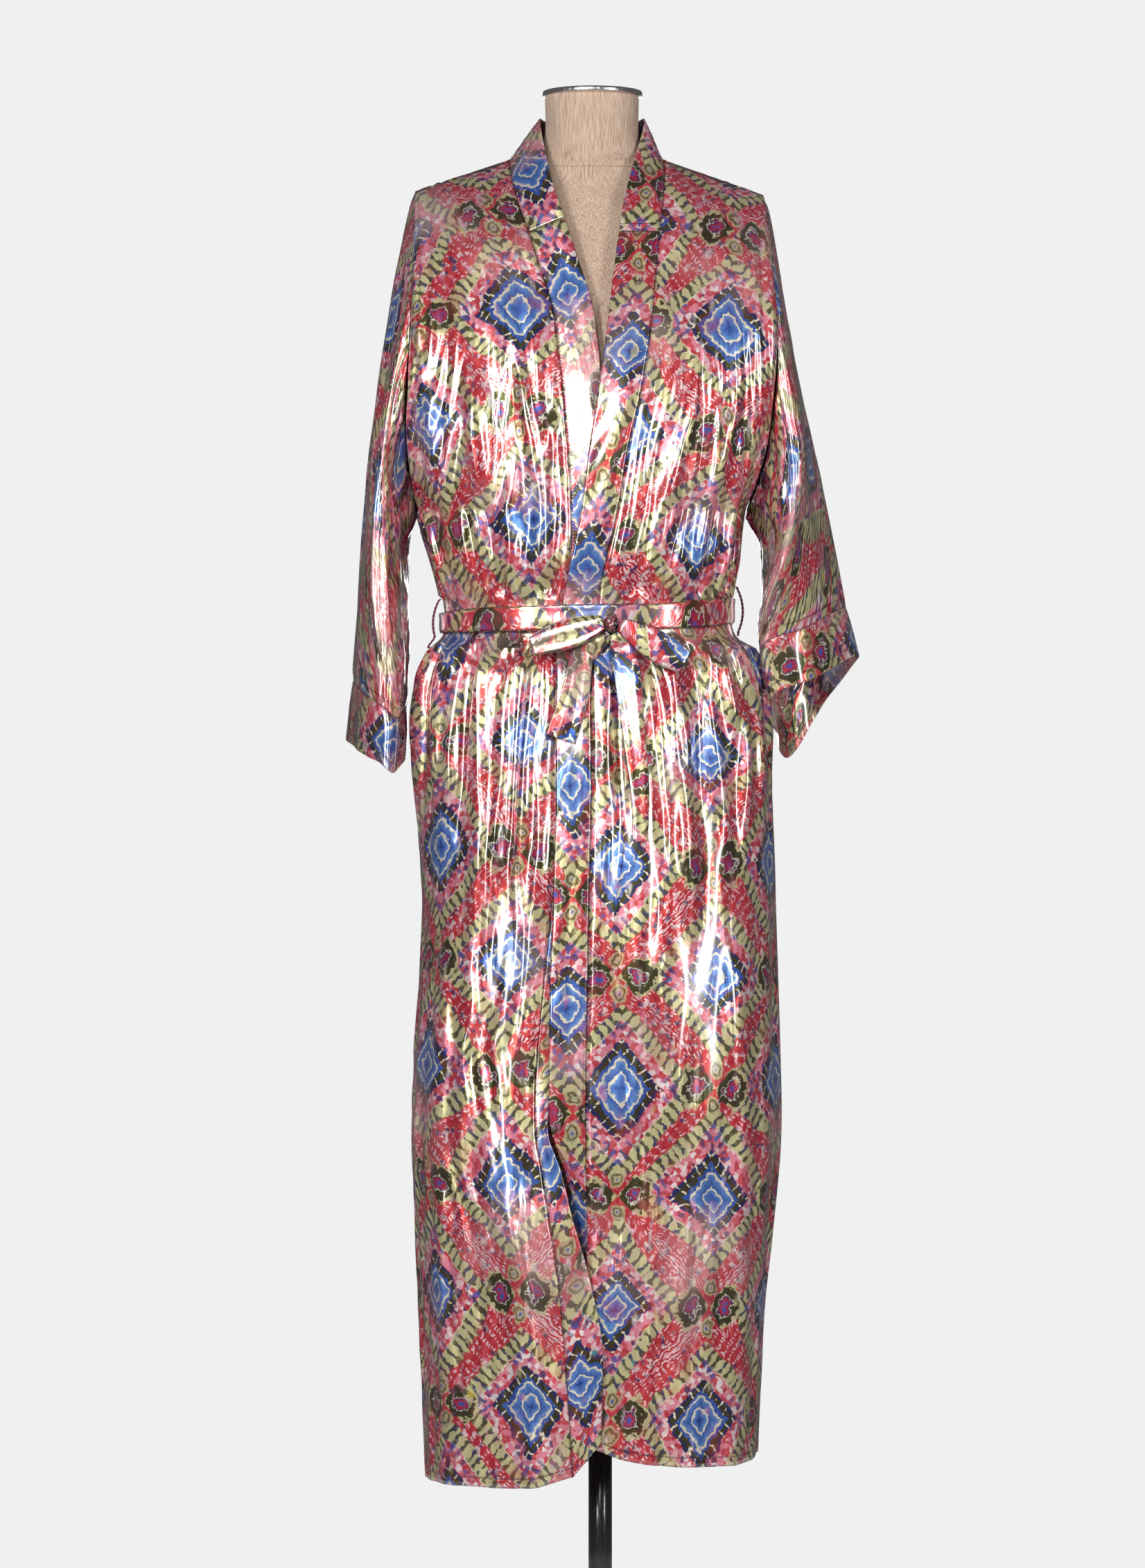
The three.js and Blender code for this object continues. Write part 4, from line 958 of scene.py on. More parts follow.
def front_creases(side: Side) -> tuple[Crease, ...]:
    """Creases of a front, placed one by one, and the gathers above and below the belt.

    Here x counts from the side seam to the band and y is the height.

    Args:
        side: the wearer's side.

    Returns:
        The creases.
    """
    width = PANEL_WIDTH["front"]
    placed = {
        Side.RIGHT: (
            (150, 1560, 196, 1300, 8, 3.4, 6),
            (180, 1490, 214, 1260, 5, 2.6, -5),
            (95, 1470, 140, 1240, 9, 3.8, 5),
            (118, 1400, 150, 1225, 4, -2.6, 3),
            (60, 1390, 96, 1225, 7, 3.2, -4),
            (14, 1420, 60, 1290, 6, -3.0, 5),
            (30, 1330, 64, 1222, 5, 2.6, 3),
            (40, 1610, 100, 1480, 10, 2.2, 8),
            (16, 1520, 52, 1400, 6, 2.0, -5),
            (166, 1150, 158, 760, 6, 4.4, 6),
            (188, 1150, 190, 820, 4, -3.6, -4),
            (206, 1140, 214, 700, 5, 3.2, 5),
            (120, 1150, 96, 850, 7, 4.0, -8),
            (84, 1140, 64, 900, 6, -3.2, 5),
            (50, 1150, 30, 930, 6, 3.6, -6),
            (142, 980, 138, 520, 9, 3.4, 9),
            (60, 900, 70, 420, 11, 3.2, -8),
            (104, 760, 96, 310, 8, 2.8, 7),
            (176, 700, 196, 300, 8, 3.6, -5),
            (30, 700, 38, 330, 9, -2.6, 5),
            (196, 600, 222, 310, 5, -2.4, 4),
        ),
        Side.LEFT: (
            (150, 1540, 180, 1290, 8, 3.2, -6),
            (190, 1470, 206, 1240, 6, 3.0, 5),
            (110, 1470, 132, 1232, 9, 3.6, -6),
            (130, 1400, 150, 1226, 4, -2.8, 3),
            (66, 1420, 96, 1230, 7, 3.4, 5),
            (20, 1430, 56, 1300, 6, -2.6, -5),
            (36, 1340, 70, 1224, 5, 2.8, -4),
            (44, 1600, 104, 1490, 10, 2.0, -7),
            (30, 1255, 66, 1340, 6, 2.4, 4),
            (178, 1150, 150, 790, 6, 4.2, 7),
            (206, 1140, 204, 860, 4, 3.0, -4),
            (130, 1150, 104, 900, 6, 3.8, -6),
            (156, 1130, 136, 960, 4, -3.2, 4),
            (84, 1150, 60, 880, 7, 3.8, 5),
            (48, 1140, 30, 990, 5, -3.0, -4),
            (112, 960, 110, 480, 10, 3.2, -9),
            (180, 860, 176, 420, 6, -3.0, 6),
            (60, 820, 58, 360, 10, 3.2, 8),
            (150, 640, 154, 322, 7, 2.8, -4),
            (26, 680, 32, 340, 8, -2.4, 5),
            (206, 560, 214, 340, 5, 2.6, 3),
        ),
    }[side]
    seed = 31 if side is Side.RIGHT else 47
    return by_hand(placed) + belt_gathers(seed, (17, 18), (12, width - 14), (10, width - 12))


def back_creases() -> tuple[Crease, ...]:
    """Creases of the back: drawn in at the belt, hanging from the shoulders, and falling to the hem."""
    width = PANEL_WIDTH["back"]
    placed = (
        (70, 1590, 110, 1340, 10, 2.6, 8),
        (380, 1590, 344, 1350, 10, 2.4, -8),
        (150, 1540, 170, 1300, 9, 3.0, -6),
        (300, 1540, 286, 1290, 9, 3.2, 6),
        (226, 1500, 228, 1260, 11, 2.6, 5),
        (28, 1440, 78, 1280, 6, -3.0, 5),
        (424, 1440, 372, 1290, 6, -2.8, -5),
        (100, 1400, 118, 1230, 6, 3.0, 4),
        (350, 1400, 330, 1228, 6, 3.2, -4),
        (90, 1150, 76, 780, 8, 4.2, 6),
        (150, 1150, 146, 720, 8, 4.0, -7),
        (206, 1150, 210, 640, 9, 4.4, 6),
        (262, 1150, 270, 700, 8, 4.0, -5),
        (318, 1150, 330, 760, 8, 3.8, 7),
        (372, 1140, 392, 800, 7, 3.8, -5),
        (50, 1000, 42, 420, 11, 3.2, 7),
        (116, 860, 112, 330, 10, 3.0, -8),
        (184, 780, 190, 310, 12, 3.2, 8),
        (250, 800, 244, 320, 9, -2.8, -6),
        (306, 840, 318, 330, 11, 3.2, 6),
        (392, 900, 404, 360, 10, 3.0, -7),
    )
    return by_hand(placed) + belt_gathers(61, (30, 34), (14, width - 14), (14, width - 14))


def sleeve_creases(side: Side) -> tuple[Crease, ...]:
    """Creases of a sleeve: x counts once round from the top fold, y down from the armhole.

    The underside has the deep gathers of the armpit, and the folds swing from there down to the cuff.

    Args:
        side: the wearer's side.

    Returns:
        The creases.
    """
    turned = 1 if side is Side.RIGHT else -1
    seed = 83 if side is Side.RIGHT else 97
    girth = SLEEVE_GIRTH
    places = (
        ((0.10, 30), (0.16, 300), 9, 3.6, 8),
        ((0.20, 60), (0.22, 360), 7, 3.0, -7),
        ((0.28, 120), (0.30, 420), 6, -2.8, 6),
        ((0.34, 40), (0.26, 240), 8, 3.8, 6),
        ((0.42, 20), (0.36, 200), 6, 3.4, -5),
        ((0.40, 200), (0.44, 430), 7, 2.8, 6),
        ((0.52, 10), (0.50, 180), 7, -3.4, 5),
        ((0.58, 30), (0.62, 240), 8, 3.6, -6),
        ((0.66, 60), (0.70, 330), 8, 3.2, 7),
        ((0.76, 120), (0.74, 400), 7, -2.8, -6),
        ((0.84, 40), (0.86, 330), 9, 3.2, 7),
        ((0.92, 160), (0.95, 420), 7, 2.6, -5),
        ((0.14, 330), (0.10, 450), 5, -2.2, 4),
        ((0.24, 300), (0.34, 400), 6, 2.8, 5),
        ((0.70, 330), (0.62, 430), 6, 2.6, -4),
    )
    placed = tuple(
        Crease((start[0] * girth, start[1]), (end[0] * girth, end[1]), width, height, bow * turned)
        for start, end, width, height, bow in places
    )
    pit = Gathers(seed, 14, (0.34 * girth, 0.66 * girth), 4.0, (45, 190), (1.0, 3.2), (3.5, 7), 26)
    cap = Gathers(seed + 1, 9, (0.03 * girth, 0.34 * girth), 4.0, (30, 110), (0.6, 1.6), (4, 8), 14)
    rear = Gathers(seed + 2, 9, (0.66 * girth, 0.97 * girth), 4.0, (30, 110), (0.6, 1.6), (4, 8), 14)
    return placed + tuple(pit.creases()) + tuple(cap.creases()) + tuple(rear.creases())


@dataclass
class Robe:
    """The robe: its panels, bands, sleeves and cuffs, each a cut of its own."""

    material: bpy.types.Material
    band_material: bpy.types.Material
    form: RobeForm = field(default_factory=RobeForm)
    laid: dict[str, Laid] = field(default_factory=dict)
    pull: SeamPull = field(default_factory=SeamPull)
    front_grid: tuple[int, int] = (84, 300)
    back_grid: tuple[int, int] = (132, 280)
    sleeve_grid: tuple[int, int] = (132, 120)

    @staticmethod
    def levels(count: int, top: float = NECK_LEVEL, bottom: float = HEM_LEVEL) -> Array:
        """Rows down the body, evenly spaced."""
        return np.linspace(top, bottom, count)

    def body_relief(self, name: str, x: Array, z: Array, ends: tuple[Array, Array]) -> Array:
        """Height of a body panel's creases: none at its seams and under the belt, with the seams' pull.

        Args:
            name: the panel, which gives its creases.
            x: millimetres across.
            z: height.
            ends: distances from the panel's two side edges.

        Returns:
            Heights in millimetres.
        """
        creases = {
            "front_right": lambda: front_creases(Side.RIGHT),
            "front_left": lambda: front_creases(Side.LEFT),
            "back_panel": back_creases,
        }[name]()
        relief = Relief(creases, seed=sum(map(ord, name)))
        first, last = ends
        window = ease(first / 16) * ease(last / 12) * ease((1668 - z) / 40)
        belted = 1 - ease((z - BELT_CLEAR[0] + 8) / 8) * ease((BELT_CLEAR[1] + 8 - z) / 8)
        pull = self.pull.height(first, z) + self.pull.height(last, z)
        return relief.height(x, z) * window * belted + pull * (0.4 + 0.6 * belted)

    def panel_relief(self, name: str, width: float) -> Callable[[Array, Array, Grid], Array]:
        """Relief of a body panel, whose creases are placed on a width in millimetres."""

        def relief(_u: Array, _v: Array, flat: Grid) -> Array:
            """Creases across the panel's own width."""
            across = flat.across()
            total = across[:, -1:]
            z = flat.points[..., 2]
            return self.body_relief(name, across / total * width, z, (across, total - across))

        return relief

    def front(self, side: Side) -> Laid:
        """One front panel, from the side seam to its band."""
        name = f"front_{side.label}"
        return ClothPiece(
            name=f"robe_{name}",
            node=name,
            slot=Slot.SATIN,
            material=self.material,
            surface=lambda u, v: self.form.front(side, u, v),
            out=lambda u, v: outward(self.form.front(side, u, v)),
            across=np.linspace(0, 1, self.front_grid[0]),
            down=self.levels(self.front_grid[1]),
            relief=self.panel_relief(name, PANEL_WIDTH["front"]),
            hold=Hold.GATHERED,
            rests_on=("form_torso",),
            anchor=(0.85, 606.0) if side is Side.RIGHT else (0.58, 591.0),
        ).build()

    def back(self) -> Laid:
        """The back panel, round from one side seam to the other and over the shoulders."""
        return ClothPiece(
            name="robe_back",
            node="back_panel",
            slot=Slot.SATIN,
            material=self.material,
            surface=self.form.back,
            out=lambda u, v: outward(self.form.back(u, v)),
            across=np.linspace(0, 1, self.back_grid[0]),
            down=self.levels(self.back_grid[1]),
            relief=self.panel_relief("back_panel", PANEL_WIDTH["back"]),
            hold=Hold.GATHERED,
            rests_on=("form_torso",),
            anchor=(0.5, 640.0),
        ).build()

    def sleeve_out(self, side: Side, around: Array, along: Array) -> Array:
        """Facing of a sleeve: its own, and the body's near the top of the armhole."""
        surface = lambda u, v: self.form.sleeve(side, u, v)
        own = facing(surface, around, along, 0.004, 0.004, 0.0, 1.0) * side.value
        point = surface(around, along)
        like_body = (1 - ease(along / 0.1)) * ease((point[:, 2] - 1440) / 90)
        return unit(mix(own, outward(point), like_body[:, None]))

    def sleeve(self, side: Side) -> Laid:
        """One sleeve, a tube from the armhole to the seam of its cuff."""
        creases = Relief(sleeve_creases(side), seed=11 + side.value)

        def relief(u: Array, v: Array, flat: Grid) -> Array:
            """Creases round and down the tube, none at its seams."""
            down = flat.down()[:, : u.shape[1]]
            left = down[-1:] - down
            y = down / down[-1:] * 460
            window = ease(down / 12) * ease(left / 14)
            seamless = np.minimum(ease(u / 0.02), ease((1 - u) / 0.02))
            pull = self.pull.height(down, u * SLEEVE_GIRTH) + self.pull.height(left, u * SLEEVE_GIRTH)
            return creases.height(u * SLEEVE_GIRTH, y) * window * (0.3 + 0.7 * seamless) + pull

        return ClothPiece(
            name=f"robe_sleeve_{side.label}",
            node=f"sleeve_{side.label}",
            slot=Slot.SATIN,
            material=self.material,
            surface=lambda u, v: self.form.sleeve(side, u, v),
            out=lambda u, v: self.sleeve_out(side, u, v),
            across=np.arange(self.sleeve_grid[0]) / self.sleeve_grid[0],
            down=np.linspace(0, CUFF_START, self.sleeve_grid[1]),
            relief=relief,
            hold=Hold.HUNG,
            rests_on=("front_" + side.label,),
            anchor=(0.2, 0.42) if side is Side.RIGHT else (0.24, 0.3),
            ring=True,
            seams=(False, False, True, True),
        ).build()

    def cuff(self, side: Side) -> Laid:
        """The turned band of cloth at a sleeve's end, a little proud of the sleeve."""

        def relief(u: Array, v: Array, flat: Grid) -> Array:
            """Soft waves along the cuff's hem, flat at its seam."""
            down = flat.down()[:, : u.shape[1]]
            wave = np.sin(u * 2 * math.pi * 5 + 1.3) * 0.9 + np.sin(u * 2 * math.pi * 9 + side.value) * 0.7
            return wave * ease(down / 30) + 0.35 * ease(down / 2.5) - 0.6 * np.exp(-((down / 5) ** 2))

        return ClothPiece(
            name=f"robe_cuff_{side.label}",
            node=f"cuff_{side.label}",
            slot=Slot.SATIN_BAND,
            material=self.band_material,
            surface=lambda u, v: self.form.sleeve(side, u, v),
            out=lambda u, v: self.sleeve_out(side, u, v),
            across=np.arange(self.sleeve_grid[0]) / self.sleeve_grid[0],
            down=np.linspace(CUFF_START, 1, 30),
            relief=relief,
            hold=Hold.HUNG,
            rests_on=("sleeve_" + side.label,),
            anchor=(0.45, 0.9),
            ring=True,
            thickness=1.2,
            seams=(False, False, True, False),
        ).build()

    def band_out(self, side: Side, across: Array, level: Array) -> Array:
        """Facing of a front band: the body's at its seam, its own towards the free edge."""
        surface = lambda u, v: self.form.band(side, u, v)
        own = facing(surface, across, level, 0.01, 2.0, -np.inf, np.inf) * -side.value
        body = outward(surface(across, level))
        return unit(mix(body, own, ease(across * 1.5)[:, None]))

    def band(self, side: Side) -> Laid:
        """A front band: two layers of cloth, with a soft fold at the free edge."""
        seed = 5 + side.value
        creases = Relief((), seed=seed, crinkle=0.3, stretch=2.0)

        def relief(u: Array, v: Array, flat: Grid) -> Array:
            """Plump between seam and fold, pressed at the belt, with long waves down the free edge."""
            across = flat.across()
            z = flat.points[..., 2]
            plump = 0.9 * np.sin(math.pi * np.clip(u, 0, 1)) ** 0.6
            wave = np.sin(z / 61 + seed) * 0.8 + np.sin(z / 23 + 2 * seed) * 0.35
            belted = 1 - ease((z - BELT_CLEAR[0] + 10) / 10) * ease((BELT_CLEAR[1] + 10 - z) / 10)
            return (plump + creases.height(across, z) * u + wave * u * 0.7) * belted + 0.25

        return ClothPiece(
            name=f"robe_band_{side.label}",
            node=f"band_{side.label}",
            slot=Slot.SATIN_BAND,
            material=self.band_material,
            surface=lambda u, v: self.form.band(side, u, v),
            out=lambda u, v: self.band_out(side, u, v),
            across=np.linspace(0, 1, 18),
            down=self.levels(300, CHEST_LEVEL),
            relief=relief,
            hold=Hold.FOLDED,
            rests_on=(f"front_{side.label}",),
            anchor=(0.5, 1524.0) if side is Side.RIGHT else (0.5, 1240.0),
            thickness=1.5,
            seams=(True, False, True, False),
        ).build()

    def neck_band(self) -> Laid:
        """The band's stretch round the neck, standing up behind it."""
        surface = self.form.neck_band

        def out(u: Array, v: Array) -> Array:
            """The body's facing at the seam, its own towards the standing edge."""
            own = facing(surface, u, v, 0.01, 0.004, 0.0, 1.0)
            return unit(mix(outward(surface(u, v)), own, ease(u * 1.5)[:, None]))

        def relief(u: Array, v: Array, flat: Grid) -> Array:
            """Plump between seam and fold, with the slight waves of a curved band."""
            ends = np.minimum(ease(v / 0.03), ease((1 - v) / 0.03))
            wave = np.sin(v * 41) * 0.5 + np.sin(v * 23 + 1) * 0.6
            return (0.9 * np.sin(math.pi * np.clip(u, 0, 1)) ** 0.6 + wave * u) * ends + 0.25

        return ClothPiece(
            name="robe_band_neck",
            node="band_neck",
            slot=Slot.SATIN_BAND,
            material=self.band_material,
            surface=surface,
            out=out,
            across=np.linspace(0, 1, 18),
            down=np.linspace(0, 1, 160),
            relief=relief,
            hold=Hold.FOLDED,
            rests_on=("back_panel",),
            anchor=(0.5, 0.12),
            thickness=1.5,
            seams=(True, False, True, True),
        ).build()

    def build(self) -> None:
        """Make every cut of the robe, and keep its surface for the stitching."""
        self.laid["back"] = self.back()
        self.laid["neck"] = self.neck_band()
        for side in Side:
            for name, make in (
                ("front", self.front), ("band", self.band), ("sleeve", self.sleeve), ("cuff", self.cuff)
            ):
                self.laid[f"{name}_{side.label}"] = make(side)


def tube_object(name: str, rings: Array, shift: float = SHIFT_X) -> bpy.types.Object:
    """A closed piece through rings of points, with both ends closed to their middle.

    Args:
        name: the piece's name.
        rings: (rows, columns, 3) in millimetres.
        shift: how far the points move along x.

    Returns:
        The object, its faces turned outwards.
    """
    rows, columns = rings.shape[:2]
    quads = grid_faces(rows, columns, ring=True)
    ends = np.stack([rings[0].mean(axis=0), rings[-1].mean(axis=0)])
    points = np.concatenate([rings.reshape(-1, 3), ends])
    here = np.arange(columns)
    following = (here + 1) % columns
    first, last = rows * columns, rows * columns + 1
    low = np.stack([np.full(columns, first), here, following], axis=-1)
    row = (rows - 1) * columns
    high = np.stack([np.full(columns, last), row + following, row + here], axis=-1)
    a, b, c, d = (points[quads[:, k]] for k in range(4))
    fans = np.concatenate([low, high])
    e, f, g = (points[fans[:, k]] for k in range(3))
    inside = (np.cross(b, c) * a).sum() + (np.cross(c, d) * a).sum() + (np.cross(f, g) * e).sum()
    if inside < 0:
        quads, fans = quads[:, ::-1], fans[:, ::-1]
    mesh = bpy.data.meshes.new(name)
    places = (points + [shift, 0, 0]) * MM
    mesh.from_pydata(places.tolist(), [], quads.tolist() + fans.tolist())
    mesh.shade_smooth()
    mesh.update()
    made = bpy.data.objects.new(name, mesh)
    bpy.context.scene.collection.objects.link(made)
    return made


def put_tube_uv(made: bpy.types.Object, rings: Array, offset: tuple[float, float] = (0.0, 0.0)) -> None:
    """Print coordinates of a tube: length round each ring, and length along it, in metres."""
    rows, columns = rings.shape[:2]
    around = np.linalg.norm(np.diff(np.concatenate([rings, rings[:, :1]], axis=1), axis=1), axis=-1)
    u = np.concatenate([np.zeros((rows, 1)), np.cumsum(around, axis=1)], axis=1)[:, :columns]
    middle = rings.mean(axis=1)
    v = np.concatenate([[0], np.cumsum(np.linalg.norm(np.diff(middle, axis=0), axis=-1))])
    places = np.concatenate(
        [np.stack([u, np.repeat(v[:, None], columns, axis=1)], axis=-1).reshape(-1, 2), [[0, 0]] * 2]
    )
    layer = made.data.uv_layers.new(name=UV_NAME)
    corner = np.empty(len(made.data.loops), np.int32)
    made.data.loops.foreach_get("vertex_index", corner)
    layer.data.foreach_set("uv", ((places[corner] + offset) * MM).astype(np.float32).ravel())


def soften(made: bpy.types.Object, width: float, segments: int = 3) -> None:
    """Round the sharp edges, by a width in millimetres."""
    bevel = made.modifiers.new("soft_edges", "BEVEL")
    bevel.width = width * MM
    bevel.segments = segments
    bevel.limit_method = "ANGLE"
    bevel.angle_limit = math.radians(32)


@dataclass(frozen=True)
class StrapLine:
    """The middle line of a strap, with its half width and half thickness as vectors at each station."""

    centre: Array
    side: Array
    out: Array

    def rings(self, count: int = 28, folds: float = 0.5, seed: int = 3) -> Array:
        """Soft-edged flat sections, with shallow folds that run along the strap.

        Args:
            count: points round each section.
            folds: height of the folds in millimetres.
            seed: sets the folds' places.

        Returns:
            (stations, count, 3) points in millimetres.
        """
        angle = np.arange(count) / count * 2 * math.pi
        wide = np.sign(np.cos(angle)) * np.abs(np.cos(angle)) ** 0.55
        thick = np.sign(np.sin(angle)) * np.abs(np.sin(angle)) ** 0.8
        along = np.concatenate([[0], np.cumsum(np.linalg.norm(np.diff(self.centre, axis=0), axis=-1))])
        draw = np.random.default_rng(seed)
        ripple = np.zeros((len(along), count))
        for _ in range(5):
            waves = draw.uniform(0.7, 2.6)
            phase, drift = draw.uniform(0, 2 * math.pi, 2)
            length = draw.uniform(28, 95)
            share = draw.uniform(0.4, 1.0)
            ripple += share * np.sin(
                waves * math.pi * wide[None, :] + phase + np.sin(along / length + drift)[:, None]
            )
        ripple *= folds * 0.45
        out_unit = unit(self.out)
        waver = 1 + 0.05 * np.sin(along / 21 + seed)[:, None, None]
        flat = self.side[:, None, :] * wide[
            None, :, None
        ] * waver + self.out[:, None, :] * thick[None, :, None]
        return self.centre[:, None, :] + flat + out_unit[:, None, :] * ripple[..., None]


@dataclass
class Belt:
    """The tie belt: its ring round the waist, the knot, two bow loops, two tails and the thread carriers."""

    material: bpy.types.Material
    thread: bpy.types.Material
    width: float = 28.0
    thickness: float = 2.2
    clearance: float = 0.7
    band_lift: float = 3.6
    back_lift: float = 1.2
    bow_lift: float = 14.5
    heights: dict[Side, float] = field(default_factory=lambda: {Side.RIGHT: 1186.0, Side.LEFT: 1199.0})
    knot_centre: tuple[float, float] = (17.3, 1183.0)
    knot_size: tuple[float, float, float] = (16.0, 25.0, 21.0)
    bow_depth: float = 7.0

    def widest(self, name: str, z: Array) -> Array:
        """Largest reach of the body over the belt's width."""
        return np.max([np.abs(BODY.value(name, z + k * self.width / 2)) for k in (-1, 0, 1)], axis=0)

    def face(self) -> float:
        """How far the belt's face lies before the body's middle."""
        front = float(self.widest("front", np.array([BELT_HEIGHT]))[0])
        return front + self.band_lift + self.clearance + self.thickness

    def ring(self, per_quarter: int = 90) -> StrapLine:
        """The belt's line: four quarters of the body's oval, moved out."""
        centres, sides, outs = [], [], []
        for side, back, turns in (
            (Side.RIGHT, False, False),
            (Side.LEFT, False, True),
            (Side.LEFT, True, False),
            (Side.RIGHT, True, True),
        ):
            f = np.arange(per_quarter) / per_quarter
            at = 1 - f if turns else f
            side_share, depth_share = RobeForm.quarter(at)
            z = mix(BELT_HEIGHT, self.heights[side], side_share**2)
            reach = self.widest(side.label, z) * side.value
            middle = np.full_like(z, CENTRE_X) if back else BANDS[side].value("seam", z)
            depth = self.widest("back", z) + self.back_lift if back else -(
                self.widest("front", z) + self.band_lift
            )
            point = np.stack([mix(middle, reach, side_share), depth * depth_share, z], axis=-1)
            out = unit(np.stack([side_share**1.25 / reach, depth_share**1.25 / depth, 0 * z], axis=-1))
            squashed = mix(1.0, 0.8, side_share) if side is Side.RIGHT else np.ones_like(z)
            centres.append(point + out * (self.clearance + self.thickness / 2))
            sides.append(np.stack([0 * z, 0 * z, self.width / 2 * squashed], axis=-1))
            outs.append(out * self.thickness / 2)
        return StrapLine(np.concatenate(centres), np.concatenate(sides), np.concatenate(outs))

    def tail(self, side: Side, count: int = 90) -> StrapLine:
        """A tail that falls from the knot, through stations of x, z, half width, turn and distance out."""
        stations = {
            Side.RIGHT: [
                (15.2, 1171, 4.5, 0, 12), (6, 1163.5, 8, 0.1, 10), (-4, 1157, 11.5, 0.1, 7),
                (-13.3, 1146, 12.5, 0.2, 6.5), (-20.5, 1107, 15, 0.3, 5.5), (-34.7, 1063, 15, 0.28, 5),
            ],
            Side.LEFT: [
                (20.5, 1172, 4.5, 0, 15), (24, 1166, 8, -0.1, 13), (27, 1159, 11, -0.1, 7),
                (30.8, 1150, 12.5, -0.15, 6), (36.4, 1107, 13.5, -0.12, 5), (41.5, 1061, 11.5, -0.1, 5),
                (46.4, 1011, 9.5, -0.06, 5), (47.2, 958, 8.5, 0, 5),
            ],
        }[side]
        table = np.asarray(stations, float)
        t = np.linspace(0, 1, count)
        x, z, across = through(table[:, :3], t).T
        _, turn, out = through(table[:, [0, 3, 4]], t).T
        depth = -(BODY.value("front", z) + self.band_lift + out)
        fall = unit(np.stack([np.gradient(x), 0 * x, np.gradient(z)], axis=-1))
        centre = np.stack([x, depth, z], axis=-1)
        breadth = np.stack([-fall[:, 2] * across, turn * across * 0.3, fall[:, 0] * across], axis=-1)
        return StrapLine(centre, breadth, np.tile([0, -self.thickness / 2, 0], (count, 1)))

    def bow(self, side: Side, count: int = 110) -> StrapLine:
        """A bow loop: out in front, round the tip, and back behind."""
        root, tip, tip_width, lean = {
            Side.RIGHT: ((8.3, 1183), (-64, 1159), 10.0, 0.0),
            Side.LEFT: ((26.5, 1181), (92, 1142), 12.0, 0.1),
        }[side]
        root_width, full_width = 7.0, 15.0
        t = np.linspace(0, 1, count)
        reach = np.sin(math.pi * t) ** 0.8
        y = -(self.face() + self.bow_lift + self.bow_depth - self.bow_depth * (1 - np.cos(math.pi * t)) / 2)
        centre = np.stack([mix(root[0], tip[0], reach), y, mix(root[1], tip[1], reach)], axis=-1)
        middle = np.sin(math.pi * reach).clip(0) ** 0.8
        across = mix(root_width, tip_width, reach) + (full_width - (root_width + tip_width) / 2) * middle
        axis = unit(np.array([tip[0] - root[0], 0.0, tip[1] - root[1]]))
        leaning = lean * np.sin(math.pi * t)
        breadth = across[:, None] * np.stack([0 * t - axis[2], leaning, 0 * t + axis[0]], axis=-1)
        out = unit(np.cross(unit(breadth), unit(np.gradient(centre, axis=0))))
        return StrapLine(centre, breadth, out * self.thickness / 2)

    def carrier(self, side: Side, count: int = 90) -> StrapLine:
        """A thread carrier that bows out from the side seam round the belt."""
        reach, half, bow = 26.0, 1.5, 8.0
        middle = self.heights[side]
        t = np.linspace(0, 1, count)
        z = middle + reach * (1 - 2 * t)
        seat = np.abs(BODY.value(side.label, z)) + 0.4 + half
        belt_side = abs(float(BODY.value(side.label, middle))) + 0.8 + self.thickness + half
        x = np.maximum(seat, belt_side) + bow * np.sin(math.pi * t) ** 0.7
        centre = np.stack([side.value * x, 0 * z, z], axis=-1)
        breadth = np.tile([0, half, 0], (count, 1)).astype(float)
        return StrapLine(centre, breadth, np.tile([side.value * half, 0.0, 0.0], (count, 1)))

    def strap(
        self, name: str, node: str, line: StrapLine, folds: float, seed: int, loop: bool = False
    ) -> None:
        rings = line.rings(folds=folds, seed=seed)
        if loop:
            rows, columns = rings.shape[:2]
            ring = np.concatenate([rings, rings[:1]])
            made = mesh_object(name, rings, self.loop_faces(rings))
            layer = made.data.uv_layers.new(name=UV_NAME)
            along = np.concatenate(
                [[0], np.cumsum(np.linalg.norm(np.diff(ring.mean(axis=1), axis=0), axis=-1))]
            )
            j, i = np.meshgrid(np.arange(rows), np.arange(columns), indexing="ij")
            u = np.stack([i, i, i + 1, i + 1], axis=-1) / columns * 2 * (self.width + self.thickness)
            v = np.stack([along[j], along[j + 1], along[j + 1], along[j]], axis=-1)
            places = np.stack([u, v], axis=-1).reshape(-1, 4, 2)
            if self.flipped(rings):
                places = places[:, ::-1]
            layer.data.foreach_set("uv", (places * MM).astype(np.float32).ravel())
        else:
            made = tube_object(name, rings)
            put_tube_uv(made, rings, (seed * 37.0, seed * 23.0))
        # How near each point is to the strap's edge, stored as the distance from a seam, which sets the
        # painted shade along the strap's edges
        edge = np.abs(np.cos(np.arange(rings.shape[1]) / rings.shape[1] * 2 * math.pi)) ** 0.55
        near = np.linalg.norm(line.side, axis=-1)[:, None] * (1 - edge)[None, :]
        spare = np.full(len(made.data.vertices) - near.size, 1.0)
        put_attribute(made, SEAM_NAME, np.concatenate([near.ravel(), spare]) * MM)
        made.data.materials.append(self.material)
        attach(made, "form")
        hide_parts(node)

    @staticmethod
    def flipped(rings: Array) -> bool:
        """Whether the plain order of a closed strap's faces points inwards."""
        middle = rings.mean(axis=1, keepdims=True)
        along = np.roll(rings, -1, axis=0) - rings
        around = np.roll(rings, -1, axis=1) - rings
        return float((np.cross(along, around) * (rings - middle)).sum()) < 0

